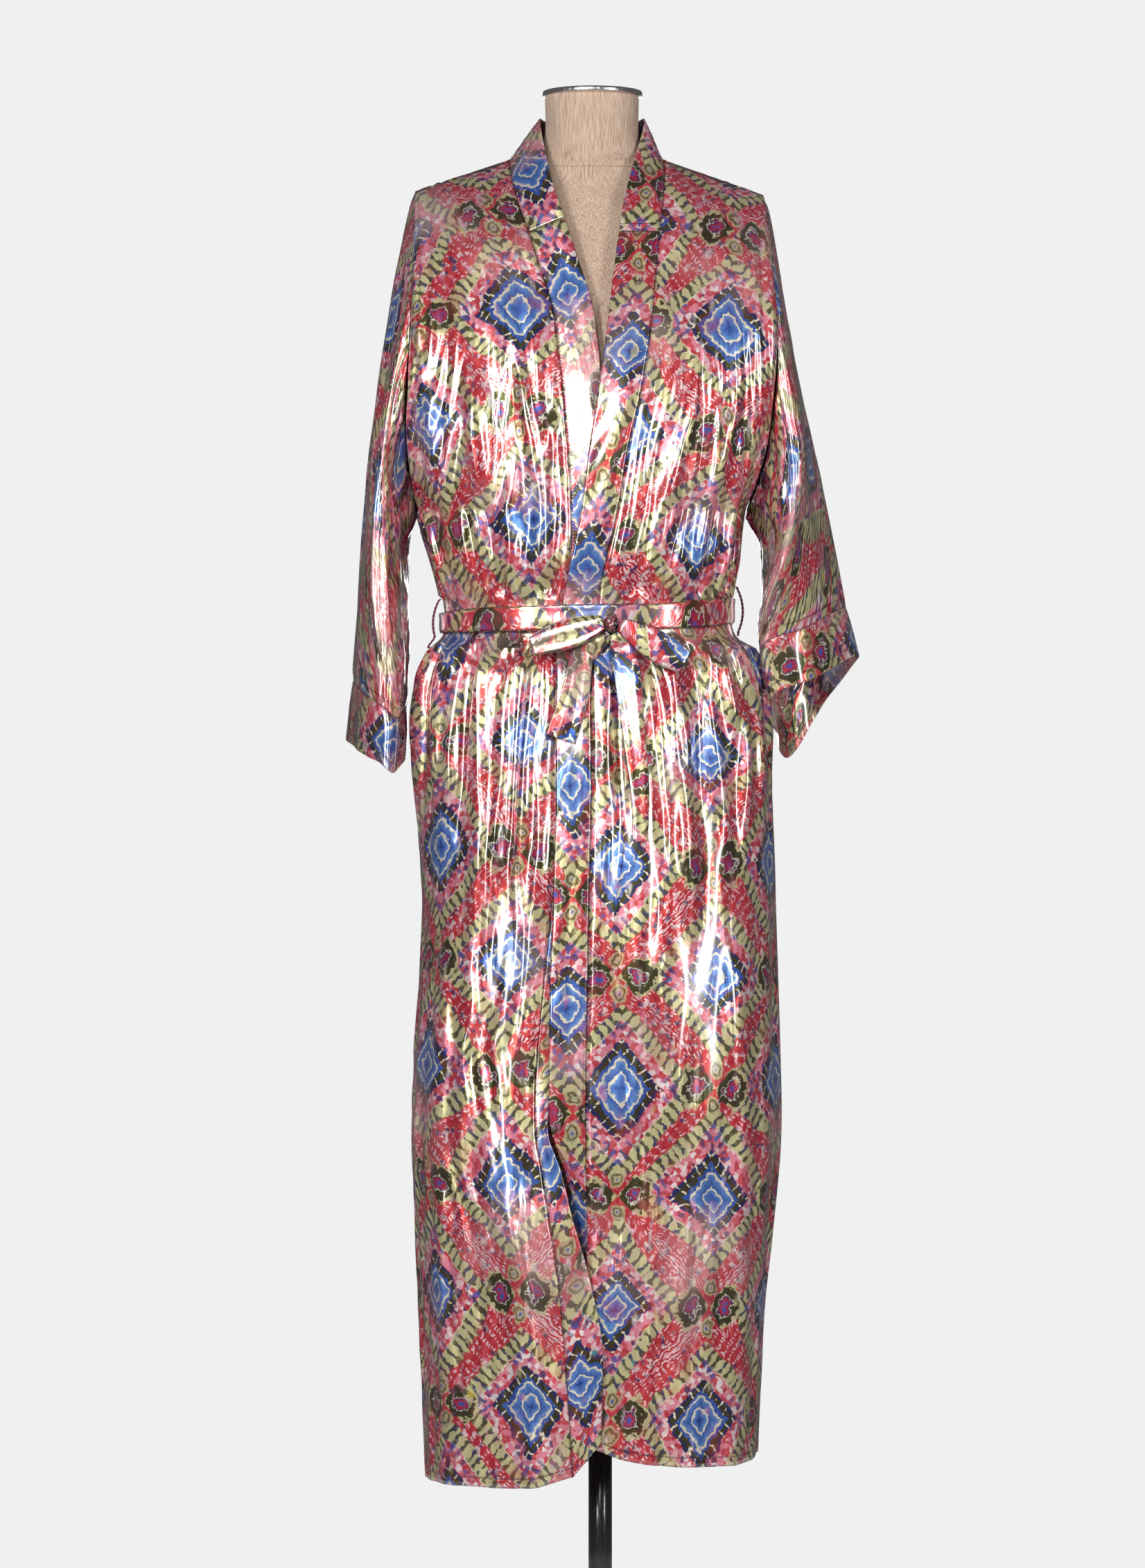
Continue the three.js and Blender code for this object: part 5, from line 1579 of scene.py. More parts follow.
    def loop_faces(self, rings: Array) -> Array:
        """Quads of a strap that closes on itself both ways."""
        rows, columns = rings.shape[:2]
        j, i = np.meshgrid(np.arange(rows), np.arange(columns), indexing="ij")
        down, right = (j + 1) % rows, (i + 1) % columns
        quads = np.stack(
            [j * columns + i, down * columns + i, down * columns + right, j * columns + right], axis=-1
        ).reshape(-1, 4)
        return quads[:, ::-1] if self.flipped(rings) else quads

    def knot(self) -> None:
        """The knot: a tight oval of cloth with wrapped folds that turn round it."""
        rows, columns = 60, 80
        theta = np.linspace(0.02, math.pi - 0.02, rows)[:, None]
        phi = (np.arange(columns) / columns * 2 * math.pi)[None, :]
        wraps = 1 + 0.09 * np.cos(3 * phi + 2.2 * theta) + 0.05 * np.cos(7 * phi - 3 * theta + 0.6)
        pinch = 1 - 0.16 * np.exp(
            -(((theta - math.pi / 2) / 0.22) ** 2)
        ) * (0.5 + 0.5 * np.cos(phi + 0.4)) ** 2
        radius = 0.93 * wraps * pinch
        half = np.array(self.knot_size) / 2
        x = half[0] * radius * np.sin(theta) * np.cos(phi)
        y = half[1] * radius * np.sin(theta) * np.sin(phi)
        z = half[2] * radius * np.cos(theta) * np.ones_like(phi)
        depth = -(self.face() + 0.4 + half[1])
        rings = np.stack([x + self.knot_centre[0], y + depth, z + self.knot_centre[1]], axis=-1)
        made = tube_object("belt_knot_cloth", rings)
        put_tube_uv(made, rings, (31.0, 77.0))
        made.data.materials.append(self.material)
        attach(made, "form")
        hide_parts("belt_knot")
        log.info("belt_knot_cloth made")

    def carriers(self) -> None:
        """Crocheted thread loops at the side seams that hold the belt."""
        for side in Side:
            line = self.carrier(side)
            angle = np.arange(14) / 14 * 2 * math.pi
            along = np.cumsum(np.r_[0, np.linalg.norm(np.diff(line.centre, axis=0), axis=-1)])
            swell = 0.8 + 0.16 * np.cos(2 * angle[None, :] + along[:, None] * 2 * math.pi / 4.4)
            wide, thick = np.cos(angle) * swell, np.sin(angle) * swell
            rings = (
                line.centre[:, None, :]
                + line.side[:, None, :] * wide[..., None]
                + line.out[:, None, :] * thick[..., None]
            )
            made = tube_object(f"belt_carrier_{side.label}", rings)
            made.data.materials.append(self.thread)
            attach(made, "form")
            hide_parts(f"belt_loop_{side.label}")
            log.info("belt_carrier_%s made", side.label)

    def build(self) -> None:
        """Make the belt and everything tied in it."""
        self.strap("belt_ring", "belt", self.ring(), 0.55, 3, loop=True)
        self.knot()
        for side in Side:
            seed = 7 if side is Side.RIGHT else 12
            self.strap(f"belt_bow_{side.label}", f"bow_loop_{side.label}", self.bow(side), 0.8, seed)
            self.strap(f"belt_end_{side.label}", f"belt_tail_{side.label}", self.tail(side), 0.7, seed + 1)
        self.carriers()


@dataclass
class DressForm:
    """The limbless form: a linen torso with sewn seams, and its polished neck cap."""

    linen: bpy.types.Material
    thread: bpy.types.Material
    chrome: bpy.types.Material
    rows: int = 300
    columns: int = 168
    seam_depth: float = 0.9
    seam_width: float = 1.7
    neck_seam: float = 1669.0
    neck_droop: float = 3.4
    cap_radius: float = 52.6
    cap_middle: float = -1.6
    cap_rim: float = 5.0
    cap_crown: float = 3.7
    top: float = 1741.0

    def surface(self, angle: Array, z: Array) -> Array:
        """Oval sections whose squareness changes with height; angle is counted from the wearer's left."""
        power = 2 / TORSO.value("round", z)
        shape = lambda value: np.sign(value) * np.abs(value) ** power
        wide, deep = np.cos(angle), np.sin(angle)
        depth = np.where(deep < 0, TORSO.value("front", z), TORSO.value("back", z))
        shrink = 1 - 0.012 * ease((z - 1600) / 20) * ease((1684 - z) / 10)
        half = TORSO.value("half", z) * shrink
        x = TORSO.value("middle", z) + half * shape(wide)
        return np.stack([x, depth * shrink * shape(deep), z], axis=-1)

    def seam_line(self, angle: Array) -> Array:
        """Height of the seam at the neck's base: level behind, and hanging a little in front."""
        return self.neck_seam - self.neck_droop * np.clip(-np.sin(angle), 0, 1) ** 2

    def groove(self, angle: Array, z: Array) -> Array:
        """Depth of the sewn seams: round the neck's base, and down the front, back and princess lines."""
        dip = np.exp(-(((z - self.seam_line(angle)) / self.seam_width) ** 2))
        for place in (-math.pi / 2, math.pi / 2, -math.pi / 2 - 0.62, -math.pi / 2 + 0.62, math.pi / 2 - 0.62,
                      math.pi / 2 + 0.62):
            away = np.abs((angle - place + math.pi) % (2 * math.pi) - math.pi)
            below = ease((self.neck_seam - 4 - z) / 4)
            middle = abs(abs(place) - math.pi / 2) < 0.01
            share = 0.25 if middle and place < 0 else 0.6
            dip = np.maximum(dip, share * np.exp(-((away * 95 / self.seam_width) ** 2)) * below)
        return -self.seam_depth * dip

    def torso(self) -> None:
        """The linen cover over the padded form."""
        z = np.linspace(960, self.top, self.rows)
        angle = np.arange(self.columns) / self.columns * 2 * math.pi
        v, u = (part.ravel() for part in np.meshgrid(z, angle, indexing="ij"))
        smooth = self.surface(u, v)
        out = unit(np.stack([smooth[:, 0] + 3, smooth[:, 1] * 2.2, 0 * v], axis=-1))
        rings = (smooth + out * self.groove(u, v)[:, None]).reshape(self.rows, self.columns, 3)
        made = tube_object("form_cover", rings)
        made.data.materials.append(self.linen)
        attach(made, "form")
        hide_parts("form_torso")
        log.info("form_cover made")

    def seam_stitches(self) -> None:
        """A row of fine stitches below the neck's seam."""
        angle = np.linspace(0, 2 * math.pi, 1400)
        z = self.seam_line(angle) - 2.6
        path = self.surface(angle, z)
        out = unit(np.stack([path[:, 0] + 3, path[:, 1] * 2.2, 0 * z], axis=-1))
        made = stitch_row("form_neck_stitches", [(path, out)], 2.2, 3.8, 0.42)
        made.data.materials.append(self.thread)
        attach(made, "form")
        log.info("form_neck_stitches made")

    def cap(self) -> None:
        """The neck cap: a rim with rounded edges and a slightly domed top."""
        seat = self.top + 0.3
        high = seat + self.cap_rim
        rise = np.linspace(0, 1, 14)
        profile = [
            (self.cap_radius - 0.4, seat), (self.cap_radius, seat + 0.7), (self.cap_radius, high - 1.2)
        ]
        profile += [(self.cap_radius - 0.5, high - 0.35), (self.cap_radius - 1.6, high)]
        profile += [
            ((self.cap_radius - 2) * (1 - t), high + self.cap_crown * math.sin(t * math.pi / 2)) for t in rise
        ]
        made = lathe("form_neck_cap", profile, 120, (self.cap_middle, 0.0), SHIFT_X)
        made.data.materials.append(self.chrome)
        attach(made, "form")
        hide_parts("neck_cap")
        log.info("form_neck_cap made")

    def build(self) -> None:
        """Make the form."""
        self.torso()
        self.seam_stitches()
        self.cap()


def lathe(
    name: str,
    profile: Sequence[tuple[float, float]],
    columns: int,
    centre: tuple[float, float] = (0.0, 0.0),
    shift: float = 0.0,
) -> bpy.types.Object:
    """A turned piece round an upright axis.

    Args:
        name: the piece's name.
        profile: (radius, height) pairs in millimetres.
        columns: points round the axis.
        centre: where the axis stands, as x and y.
        shift: how far the piece moves along x.

    Returns:
        The object.
    """
    radius, height = np.asarray(profile, float).T
    angle = np.arange(columns) / columns * 2 * math.pi
    x = centre[0] + radius[:, None] * np.cos(angle)
    y = centre[1] + radius[:, None] * np.sin(angle)
    z = np.repeat(height[:, None], columns, axis=1)
    return tube_object(name, np.stack([x, y, z], axis=-1), shift)


@dataclass
class Stand:
    """The pole stand: a round steel foot with its socket, two poles that slide, and the clamp's knob."""

    black: bpy.types.Material
    steel: bpy.types.Material
    plastic: bpy.types.Material
    base_radius: float = 155.0
    base_height: float = 12.0
    hub_radius: float = 20.0
    hub_top: float = 36.0
    outer_radius: float = 12.4
    outer_bore: float = 10.0
    outer_top: float = 316.0
    inner_radius: float = 9.4
    inner_bottom: float = 60.0
    inner_top: float = 959.7
    foot: float = 14.3
    knob_height: float = 306.0

    def place(
        self, made: bpy.types.Object, body: str, node: str, slot: Slot, material: bpy.types.Material
    ) -> None:
        """Finish a piece and let it stand for its solid."""
        made.data.materials.append(material)
        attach(made, body)
        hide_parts(node)
        log.info("%s made", made.name)

    def build(self) -> None:
        """Make the foot, the poles and the knob."""
        edge = [
            (self.base_radius - 3 + 3 * math.sin(a), self.base_height - 3 + 3 * math.cos(a))
            for a in np.linspace(math.pi / 2, 0, 7)
        ]
        foot = [(0.2, 0.0), (self.base_radius - 1, 0.0), (self.base_radius, 1.0), *edge]
        foot += [(self.hub_radius + 5, 13.6), (self.hub_radius + 1, 15.5), (self.hub_radius, 19)]
        foot += [(self.hub_radius, self.hub_top - 1.5), (self.hub_radius - 1.5, self.hub_top)]
        foot += [(self.outer_radius + 0.8, self.hub_top), (self.outer_radius + 0.4, self.hub_top - 0.5)]
        foot += [(self.outer_radius + 0.4, 14.0), (0.2, 14.0)]
        self.place(lathe("stand_foot", foot, 144), "stand", "stand_base", Slot.BLACK, self.black)
        top, bore, radius = self.outer_top, self.outer_bore, self.outer_radius
        tube = [
            (bore, self.foot), (radius, self.foot), (radius, top - 0.8),
            (radius - 0.8, top), (bore + 0.4, top)
        ]
        tube += [(bore, top - 0.5), (bore, self.foot + 0.2)]
        self.place(lathe("stand_tube", tube, 72), "stand", "pole_outer", Slot.BLACK, self.black)
        rod = [
            (0.2, self.inner_bottom), (self.inner_radius, self.inner_bottom),
            (self.inner_radius, self.inner_top)
        ]
        rod += [(0.2, self.inner_top)]
        made = lathe("form_rod", rod, 64)
        soften(made, 0.6)
        self.place(made, "form", "pole_inner", Slot.STEEL, self.steel)
        self.place(self.knob(), "clamp", "clamp_knob", Slot.KNOB, self.plastic)

    def knob(self) -> bpy.types.Object:
        """The clamp's knob on its stem, with grip ridges, turned to point along -X."""
        angle = np.arange(96) / 96 * 2 * math.pi
        profile = [
            (2.6, 0.0), (3.0, 0.4), (3.0, 2.5), (5.0, 2.9), (5.6, 3.7), (5.6, 9.4), (5.0, 10.8), (3.6, 11.5)
        ]
        radius, reach = np.asarray(profile).T
        grip = ease((radius - 4.6) / 0.8)[:, None] * 0.05 * (np.cos(14 * angle) - 1)[None, :]
        ring = radius[:, None] * (1 + grip)
        start = -(self.outer_radius + 0.3)
        points = [np.repeat((start - reach)[:, None], 96, axis=1), ring * np.cos(angle)]
        points.append(self.knob_height + ring * np.sin(angle))
        return tube_object("stand_knob", np.stack(points, axis=-1), 0.0)


def stitch_row(
    name: str, rows: Sequence[tuple[Array, Array]], length: float, pitch: float, width: float
) -> bpy.types.Object:
    """Stitches along lines: each is a small raised lozenge of twelve triangles.

    Args:
        name: the piece's name.
        rows: for each line its points and the cloth's facing there, in millimetres.
        length: of one stitch.
        pitch: from one stitch to the next.
        width: of the thread.

    Returns:
        The object, all stitches in one mesh.
    """
    blocks, faces, count = [], [], 0
    box = np.array([[0, 1, 2, 3], [7, 6, 5, 4], [0, 4, 5, 1], [1, 5, 6, 2], [2, 6, 7, 3], [3, 7, 4, 0]])
    for path, out in rows:
        along = np.concatenate([[0], np.cumsum(np.linalg.norm(np.diff(path, axis=0), axis=-1))])
        at = np.arange(pitch, along[-1] - pitch, pitch)
        read = lambda values: np.stack([np.interp(at, along, values[:, axis]) for axis in range(3)], axis=-1)
        centre, normal = read(path), unit(read(out))
        run = unit(read(np.gradient(path, axis=0)))
        aside = np.cross(normal, run)
        ends = np.array([(-1, -1), (1, -1), (1, 1), (-1, 1)], float)
        low = centre[:, None] + run[:, None] * ends[None, :, :1] * length / 2
        low = low + aside[:, None] * ends[None, :, 1:] * width
        high = low * 0.35 + centre[:, None] * 0.65 + normal[:, None] * width * 0.9
        corners = np.concatenate([low - normal[:, None] * 0.15, high], axis=1)
        blocks.append(corners.reshape(-1, 3))
        faces.append((box[None] + (count + np.arange(len(at)) * 8)[:, None, None]).reshape(-1, 4))
        count += len(at) * 8
    made = mesh_object(name, np.concatenate(blocks), np.concatenate(faces)[:, ::-1])
    return made


@dataclass
class Stitching:
    """The rows of stitches that show: along the band seams, the hem and the cuffs."""

    thread: bpy.types.Material
    laid: dict[str, Laid]
    length: float = 2.3
    pitch: float = 3.4
    width: float = 0.42
    seam_inset: float = 2.2
    hem_inset: float = 9.5
    cuff_inset: float = 2.4

    def row(self, name: str, lines: Sequence[tuple[Array, Array]], slot: Slot) -> None:
        """One piece of stitches along lines on the cloth."""
        made = stitch_row(name, lines, self.length, self.pitch, self.width)
        made.data.materials.append(self.thread)
        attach(made, "form")
        log.info("%s made", name)

    def build(self) -> None:
        """Make every row."""
        for side in Side:
            label = side.label
            self.row(
                f"stitches_band_{label}",
                [self.laid[f"band_{label}"].down(self.seam_inset)], Slot.SATIN_BAND
            )
            hem = self.laid[f"front_{label}"].across(self.hem_inset, True)
            self.row(f"stitches_hem_{label}", [hem], Slot.SATIN)
            cuff = self.laid[f"cuff_{label}"]
            closed = [tuple(np.concatenate([part, part[:1]]) for part in cuff.across(self.cuff_inset))]
            self.row(f"stitches_cuff_{label}", closed, Slot.SATIN_BAND)
        self.row("stitches_hem_back", [self.laid["back"].across(self.hem_inset, True)], Slot.SATIN)
        self.row("stitches_neck", [self.laid["neck"].down(self.seam_inset)], Slot.SATIN_BAND)


Socket = bpy.types.NodeSocket


def linear(red: float, green: float, blue: float) -> tuple[float, float, float, float]:
    """Linear colour of a screen colour given from 0 to 255."""
    parts = np.array([red, green, blue]) / 255
    straight = np.where(parts <= 0.04045, parts / 12.92, ((parts + 0.055) / 1.055) ** 2.4)
    return (*map(float, straight), 1.0)


class Wiring:
    """Short calls that add shader nodes to a tree and join them."""

    def __init__(self, tree: bpy.types.NodeTree) -> None:
        """Start on an empty tree.

        Args:
            tree: the tree, whose nodes are cleared.
        """
        self.tree = tree
        tree.nodes.clear()

    def node(self, kind: str, **settings: object) -> bpy.types.Node:
        """A node of a kind, with its settings."""
        made = self.tree.nodes.new(kind)
        for name, value in settings.items():
            setattr(made, name, value)
        return made

    def put(self, target: Socket, value: object) -> None:
        """Join a socket to the target, or set the target's own value."""
        if isinstance(value, bpy.types.NodeSocket):
            self.tree.links.new(value, target)
        else:
            target.default_value = value

    def calc(self, operation: str, *values: object) -> Socket:
        """Result of a Math node."""
        made = self.node("ShaderNodeMath", operation=operation)
        for socket, value in zip(made.inputs, values):
            self.put(socket, value)
        return made.outputs[0]

    def vector(self, operation: str, *values: object) -> Socket:
        """Result of a Vector Math node."""
        made = self.node("ShaderNodeVectorMath", operation=operation)
        for name, value in zip(("Vector", "Vector_001", "Vector_002"), values):
            self.put(next(socket for socket in made.inputs if socket.identifier == name), value)
        return made.outputs[0]

    def stretched(self, vector: Socket, scale: tuple[float, float, float]) -> Socket:
        """Coordinates multiplied by a factor on each axis."""
        return self.vector("MULTIPLY", vector, scale)

    def blend(self, factor: object, first: object, second: object, mode: str = "MIX") -> Socket:
        """Colour between two colours."""
        made = self.node("ShaderNodeMix", data_type="RGBA", blend_type=mode)
        self.put(made.inputs[0], factor)
        self.put(made.inputs[6], first)
        self.put(made.inputs[7], second)
        return made.outputs[2]

    def soft(self, value: object, low: float, high: float, start: float = 0.0, end: float = 1.0) -> Socket:
        """Smooth step of a value from start, at low, to end, at high."""
        made = self.node("ShaderNodeMapRange", interpolation_type="SMOOTHSTEP")
        for socket, given in zip(made.inputs, (value, low, high, start, end)):
            self.put(socket, given)
        return made.outputs[0]

    def ramp(
        self, factor: object, stops: Sequence[tuple[float, tuple]], interpolation: str = "LINEAR"
    ) -> Socket:
        """Colour read from stops of place and colour."""
        made = self.node("ShaderNodeValToRGB")
        bar = made.color_ramp
        bar.interpolation = interpolation
        while len(bar.elements) < len(stops):
            bar.elements.new(1.0)
        for element, (place, colour) in zip(bar.elements, stops):
            element.position = place
            element.color = colour
        self.put(made.inputs[0], factor)
        return made.outputs[0]

    def noise(self, vector: object, scale: float, detail: float = 2.0, output: int = 0) -> Socket:
        """Noise at a scale: its value, or its colour as output 1."""
        made = self.node("ShaderNodeTexNoise", noise_dimensions="3D")
        for name, value in (("Vector", vector), ("Scale", scale), ("Detail", detail)):
            self.put(made.inputs[name], value)
        return made.outputs[output]

    def cells(self, vector: object, scale: float) -> tuple[Socket, Socket]:
        """Distance to the nearest cell's middle, and the cell's own colour."""
        made = self.node("ShaderNodeTexVoronoi")
        self.put(made.inputs["Vector"], vector)
        self.put(made.inputs["Scale"], scale)
        return made.outputs["Distance"], made.outputs["Color"]

    def split(self, vector: Socket) -> tuple[Socket, Socket, Socket]:
        """The three parts of a vector."""
        made = self.node("ShaderNodeSeparateXYZ")
        self.put(made.inputs[0], vector)
        return tuple(made.outputs)

    def group(self, tree: bpy.types.NodeTree, **values: object) -> bpy.types.Node:
        """A placed group, its inputs set by name, with spaces written as underscores."""
        made = self.node("ShaderNodeGroup", node_tree=tree)
        for name, value in values.items():
            self.put(made.inputs[name.replace("_", " ")], value)
        return made


def new_group(
    name: str, inputs: Sequence[tuple[str, str, object]], outputs: Sequence[tuple[str, str]]
) -> tuple[bpy.types.NodeTree, Wiring, bpy.types.Node, bpy.types.Node]:
    """An empty shader group.

    Args:
        name: the group's name.
        inputs: name, socket type and first value of each input.
        outputs: name and socket type of each output.

    Returns:
        The tree, its wiring, the node of its inputs and the node of its outputs.
    """
    tree = bpy.data.node_groups.new(name, "ShaderNodeTree")
    for title, kind, value in inputs:
        made = tree.interface.new_socket(title, in_out="INPUT", socket_type=kind)
        if value is not None:
            made.default_value = value
    for title, kind in outputs:
        tree.interface.new_socket(title, in_out="OUTPUT", socket_type=kind)
    wiring = Wiring(tree)
    return tree, wiring, wiring.node("NodeGroupInput"), wiring.node("NodeGroupOutput")


COLOUR, VALUE, VECTOR = "NodeSocketColor", "NodeSocketFloat", "NodeSocketVector"


class Dyes:
    """The print's colours."""

    sky = linear(98, 140, 206)
    blue = linear(52, 86, 172)
    navy = linear(26, 30, 96)
    olive = linear(60, 48, 26)
    khaki = linear(206, 196, 148)
    red = linear(186, 22, 48)
    coral = linear(204, 62, 74)
    pink = linear(232, 138, 160)
    pale = linear(246, 214, 214)
    cream = linear(244, 232, 204)
    # white also colours the painted glints of highlight
    white = linear(250, 244, 242)


def stitched_resist_lattice() -> bpy.types.NodeTree:
    """The print: a lattice of stitched-resist diamonds in half drop, charted anew, with painted glints of
    highlight mixed over it.

    a = u / width + v / height and b = u / width - v / height. Their distances from the nearest whole number
    are fa and fb. Twice the larger is d, 0 in a diamond's middle and 1 on the lattice. Twice the smaller is
    t, which grows along each side towards the corners. Bands of d take the colours, and waves of t cut them.

    Returns:
        The group, with the output Color.
    """
    inputs = (
        ("Vector", VECTOR, None), ("Width", VALUE, 0.204), ("Height", VALUE, 0.228), ("Wander", VALUE, 1.0)
    )
    tree, w, given, out = new_group("stitched_resist_lattice", inputs, (("Color", COLOUR),))
    place = given.outputs["Vector"]
    wander = given.outputs["Wander"]

    def shifted(scale: float, amount: float) -> Socket:
        """Sideways wander of the dye at a scale, in metres."""
        push = w.vector("SUBTRACT", w.noise(place, scale, 1.5, 1), (0.5, 0.5, 0.5))
        strength = w.calc("MULTIPLY", wander, amount)
        scaled = w.node("ShaderNodeVectorMath", operation="SCALE")
        w.put(scaled.inputs[0], push)
        w.put(scaled.inputs["Scale"], strength)
        return scaled.outputs[0]

    def times(*values: object) -> Socket:
        """Product of values."""
        product = values[0]
        for value in values[1:]:
            product = w.calc("MULTIPLY", product, value)
        return product

    def jitter(source: Socket, amount: float) -> Socket:
        """A noise turned to swing round zero by an amount."""
        return w.calc("MULTIPLY", w.calc("SUBTRACT", source, 0.5), amount)

    warped = w.vector("ADD", w.vector("ADD", place, shifted(6.0, 0.034)), shifted(55.0, 0.009))
    u, v, _ = w.split(warped)
    along = w.calc("DIVIDE", u, given.outputs["Width"])
    down = w.calc("DIVIDE", v, given.outputs["Height"])
    a, b = w.calc("ADD", along, down), w.calc("SUBTRACT", along, down)
    sa, sb = (w.calc("SUBTRACT", side, w.calc("ROUND", side)) for side in (a, b))
    fa, fb = w.calc("ABSOLUTE", sa), w.calc("ABSOLUTE", sb)
    d = w.calc("MULTIPLY", w.calc("MAXIMUM", fa, fb), 2.0)
    t = w.calc("MULTIPLY", w.calc("MINIMUM", fa, fb), 2.0)
    speckle = w.noise(place, 300.0, 3.0)
    blotch = w.noise(place, 105.0, 3.0)
    size = w.soft(w.noise(place, 4.6, 1.0), 0.36, 0.64, 0.9, 1.13)
    rough = w.calc(
        "MULTIPLY", w.calc("ADD", w.calc("ADD", d, jitter(blotch, 0.085)), jitter(speckle, 0.045)), size
    )
    wave = w.calc("SINE", w.calc("ADD", w.calc("MULTIPLY", t, 47.0), w.calc("MULTIPLY", blotch, 5.0)))
    wave = w.calc("ADD", wave, jitter(speckle, 1.5))
    bands = w.ramp(
        w.calc("ADD", rough, w.calc("MULTIPLY", wave, 0.009)),
        (
            (0.0, Dyes.navy), (0.03, Dyes.blue), (0.1, Dyes.sky), (0.115, Dyes.cream), (0.127, Dyes.cream),
            (0.14, Dyes.blue), (0.225, Dyes.sky), (0.24, Dyes.cream), (0.254, Dyes.cream), (0.268, Dyes.blue),
            (0.305, Dyes.blue), (
                0.315, Dyes.olive
            ), (0.37, Dyes.olive), (0.38, Dyes.navy), (0.415, Dyes.navy),
            (0.43, Dyes.coral), (0.5, Dyes.pink), (0.6, Dyes.coral), (0.612, Dyes.cream), (0.625, Dyes.khaki),
            (0.8, Dyes.khaki), (0.815, Dyes.coral), (0.87, Dyes.red), (0.94, Dyes.coral), (1.0, Dyes.red),
        ),
    )

    def within(low: float, high: float, edge: float = 0.012) -> Socket:
        """Mask of a band of d."""
        inside = w.soft(rough, low - edge, low + edge)
        return w.calc("MULTIPLY", inside, w.soft(rough, high - edge, high + edge, 1.0, 0.0))

    def edges(middle: float, half: float) -> Socket:
        """How near a band's two edges a point is: 0 in its middle and 1 at both."""
        return w.calc("DIVIDE", w.calc("ABSOLUTE", w.calc("SUBTRACT", rough, middle)), half)

    _, cell = w.cells(place, 210.0)
    dice, second, _ = w.split(cell)
    scraps = w.ramp(
        dice,
        (
            (0.0, Dyes.white), (0.1, Dyes.pink), (0.36, Dyes.coral), (0.56, Dyes.pale), (0.64, Dyes.pink),
            (0.76, Dyes.red), (0.88, Dyes.pale), (0.93, Dyes.blue), (0.965, Dyes.navy),
        ),
        "CONSTANT",
    )
    colour = w.blend(times(within(0.425, 0.61), 0.8), bands, scraps)
    spikes = times(within(0.305, 0.43), w.soft(wave, 0.8, 1.0))
    colour = w.blend(spikes, colour, Dyes.cream)
    bits = times(within(0.5, 0.64), w.soft(t, 0.32, 0.42), w.soft(wave, 0.1, 0.3))
    colour = w.blend(times(bits, 0.85), colour, w.blend(w.soft(blotch, 0.4, 0.6), Dyes.navy, Dyes.blue))
    cut = w.soft(w.calc("ADD", wave, w.calc("MULTIPLY", edges(0.715, 0.09), 0.9)), 0.55, 0.75)
    dark = w.blend(
        w.soft(second, 0.72, 0.75), w.blend(w.soft(blotch, 0.5, 0.8), Dyes.olive, Dyes.khaki), Dyes.navy
    )
    colour = w.blend(times(within(0.63, 0.815), cut, 0.92), colour, dark)
    light = w.soft(w.calc("ADD", wave, w.calc("MULTIPLY", edges(0.92, 0.1), 1.4)), 0.8, 1.1)
    rows = w.soft(w.calc("SINE", w.calc("MULTIPLY", rough, 120.0)), -0.2, 0.3)
    plain = w.soft(t, 0.6, 0.78, 1.0, 0.15)
    colour = w.blend(
        times(within(0.815, 1.2), light, rows, plain), colour, w.blend(dice, Dyes.pink, Dyes.pale)
    )
    strays = times(w.soft(second, 0.84, 0.87), within(0.8, 1.2), 0.8)
    colour = w.blend(strays, colour, w.blend(w.soft(blotch, 0.4, 0.6), Dyes.navy, Dyes.pale))

    def spot(middle: float, size: float) -> Socket:
        """Distance from a place on a diamond's diagonal, as a share of a size, with a spiky edge."""
        aside = w.calc("MULTIPLY", w.calc("SUBTRACT", d, middle), w.calc("SUBTRACT", d, middle))
        beyond = w.calc("MULTIPLY", w.calc("SUBTRACT", t, middle), w.calc("SUBTRACT", t, middle))
        away = w.calc("DIVIDE", w.calc("SQRT", w.calc("ADD", aside, beyond)), size)
        return w.calc("ADD", away, w.calc("ADD", jitter(blotch, 0.9), jitter(speckle, 0.4)))

    sideways = w.soft(w.calc("MULTIPLY", sa, sb), -0.01, 0.02)
    eye = spot(0.8, 0.3)
    ring = w.ramp(
        eye,
        ((0.0, Dyes.blue), (0.2, Dyes.red), (0.34, Dyes.navy), (0.4, Dyes.cream), (0.44, Dyes.olive),
         (0.74, Dyes.olive), (0.8, Dyes.khaki), (1.0, Dyes.khaki)),
    )
    colour = w.blend(times(w.soft(eye, 0.8, 1.0, 1.0, 0.0), sideways), colour, ring)
    bud = spot(0.84, 0.14)
    circle = w.ramp(bud, ((0.0, Dyes.blue), (0.25, Dyes.khaki), (0.5, Dyes.olive), (0.75, Dyes.khaki)))
    upright = w.calc("SUBTRACT", 1.0, sideways)
    colour = w.blend(times(w.soft(bud, 0.7, 0.95, 1.0, 0.0), upright, 0.9), colour, circle)
    wash = w.soft(w.noise(place, 6.5, 2.5), 0.5, 0.76)
    bleed = w.soft(w.noise(place, 22.0, 3.0), 0.52, 0.74)
    colour = w.blend(w.calc("MULTIPLY", bleed, 0.42), colour, Dyes.coral)
    colour = w.blend(w.calc("MULTIPLY", wash, 0.42), colour, Dyes.pale)
    # Painted highlight: streaks of yellow, white, magenta and cyan glints mixed into the print, standing in
    # for the foil's iridescent reflections.
    painted_glint_colours = w.ramp(
        w.noise(place, 38.0, 2.0),
        (
            (0.3, linear(250, 226, 90)), (0.44, Dyes.white),
            (0.54, linear(240, 96, 170)), (0.68, linear(120, 208, 214))
        ),
    )
    glints = w.soft(w.noise(w.stretched(place, (70.0, 30.0, 1.0)), 1.0, 3.0), 0.58, 0.72)
    colour = w.blend(times(glints, 0.5), colour, painted_glint_colours)
    w.put(out.inputs["Color"], colour)
    return tree


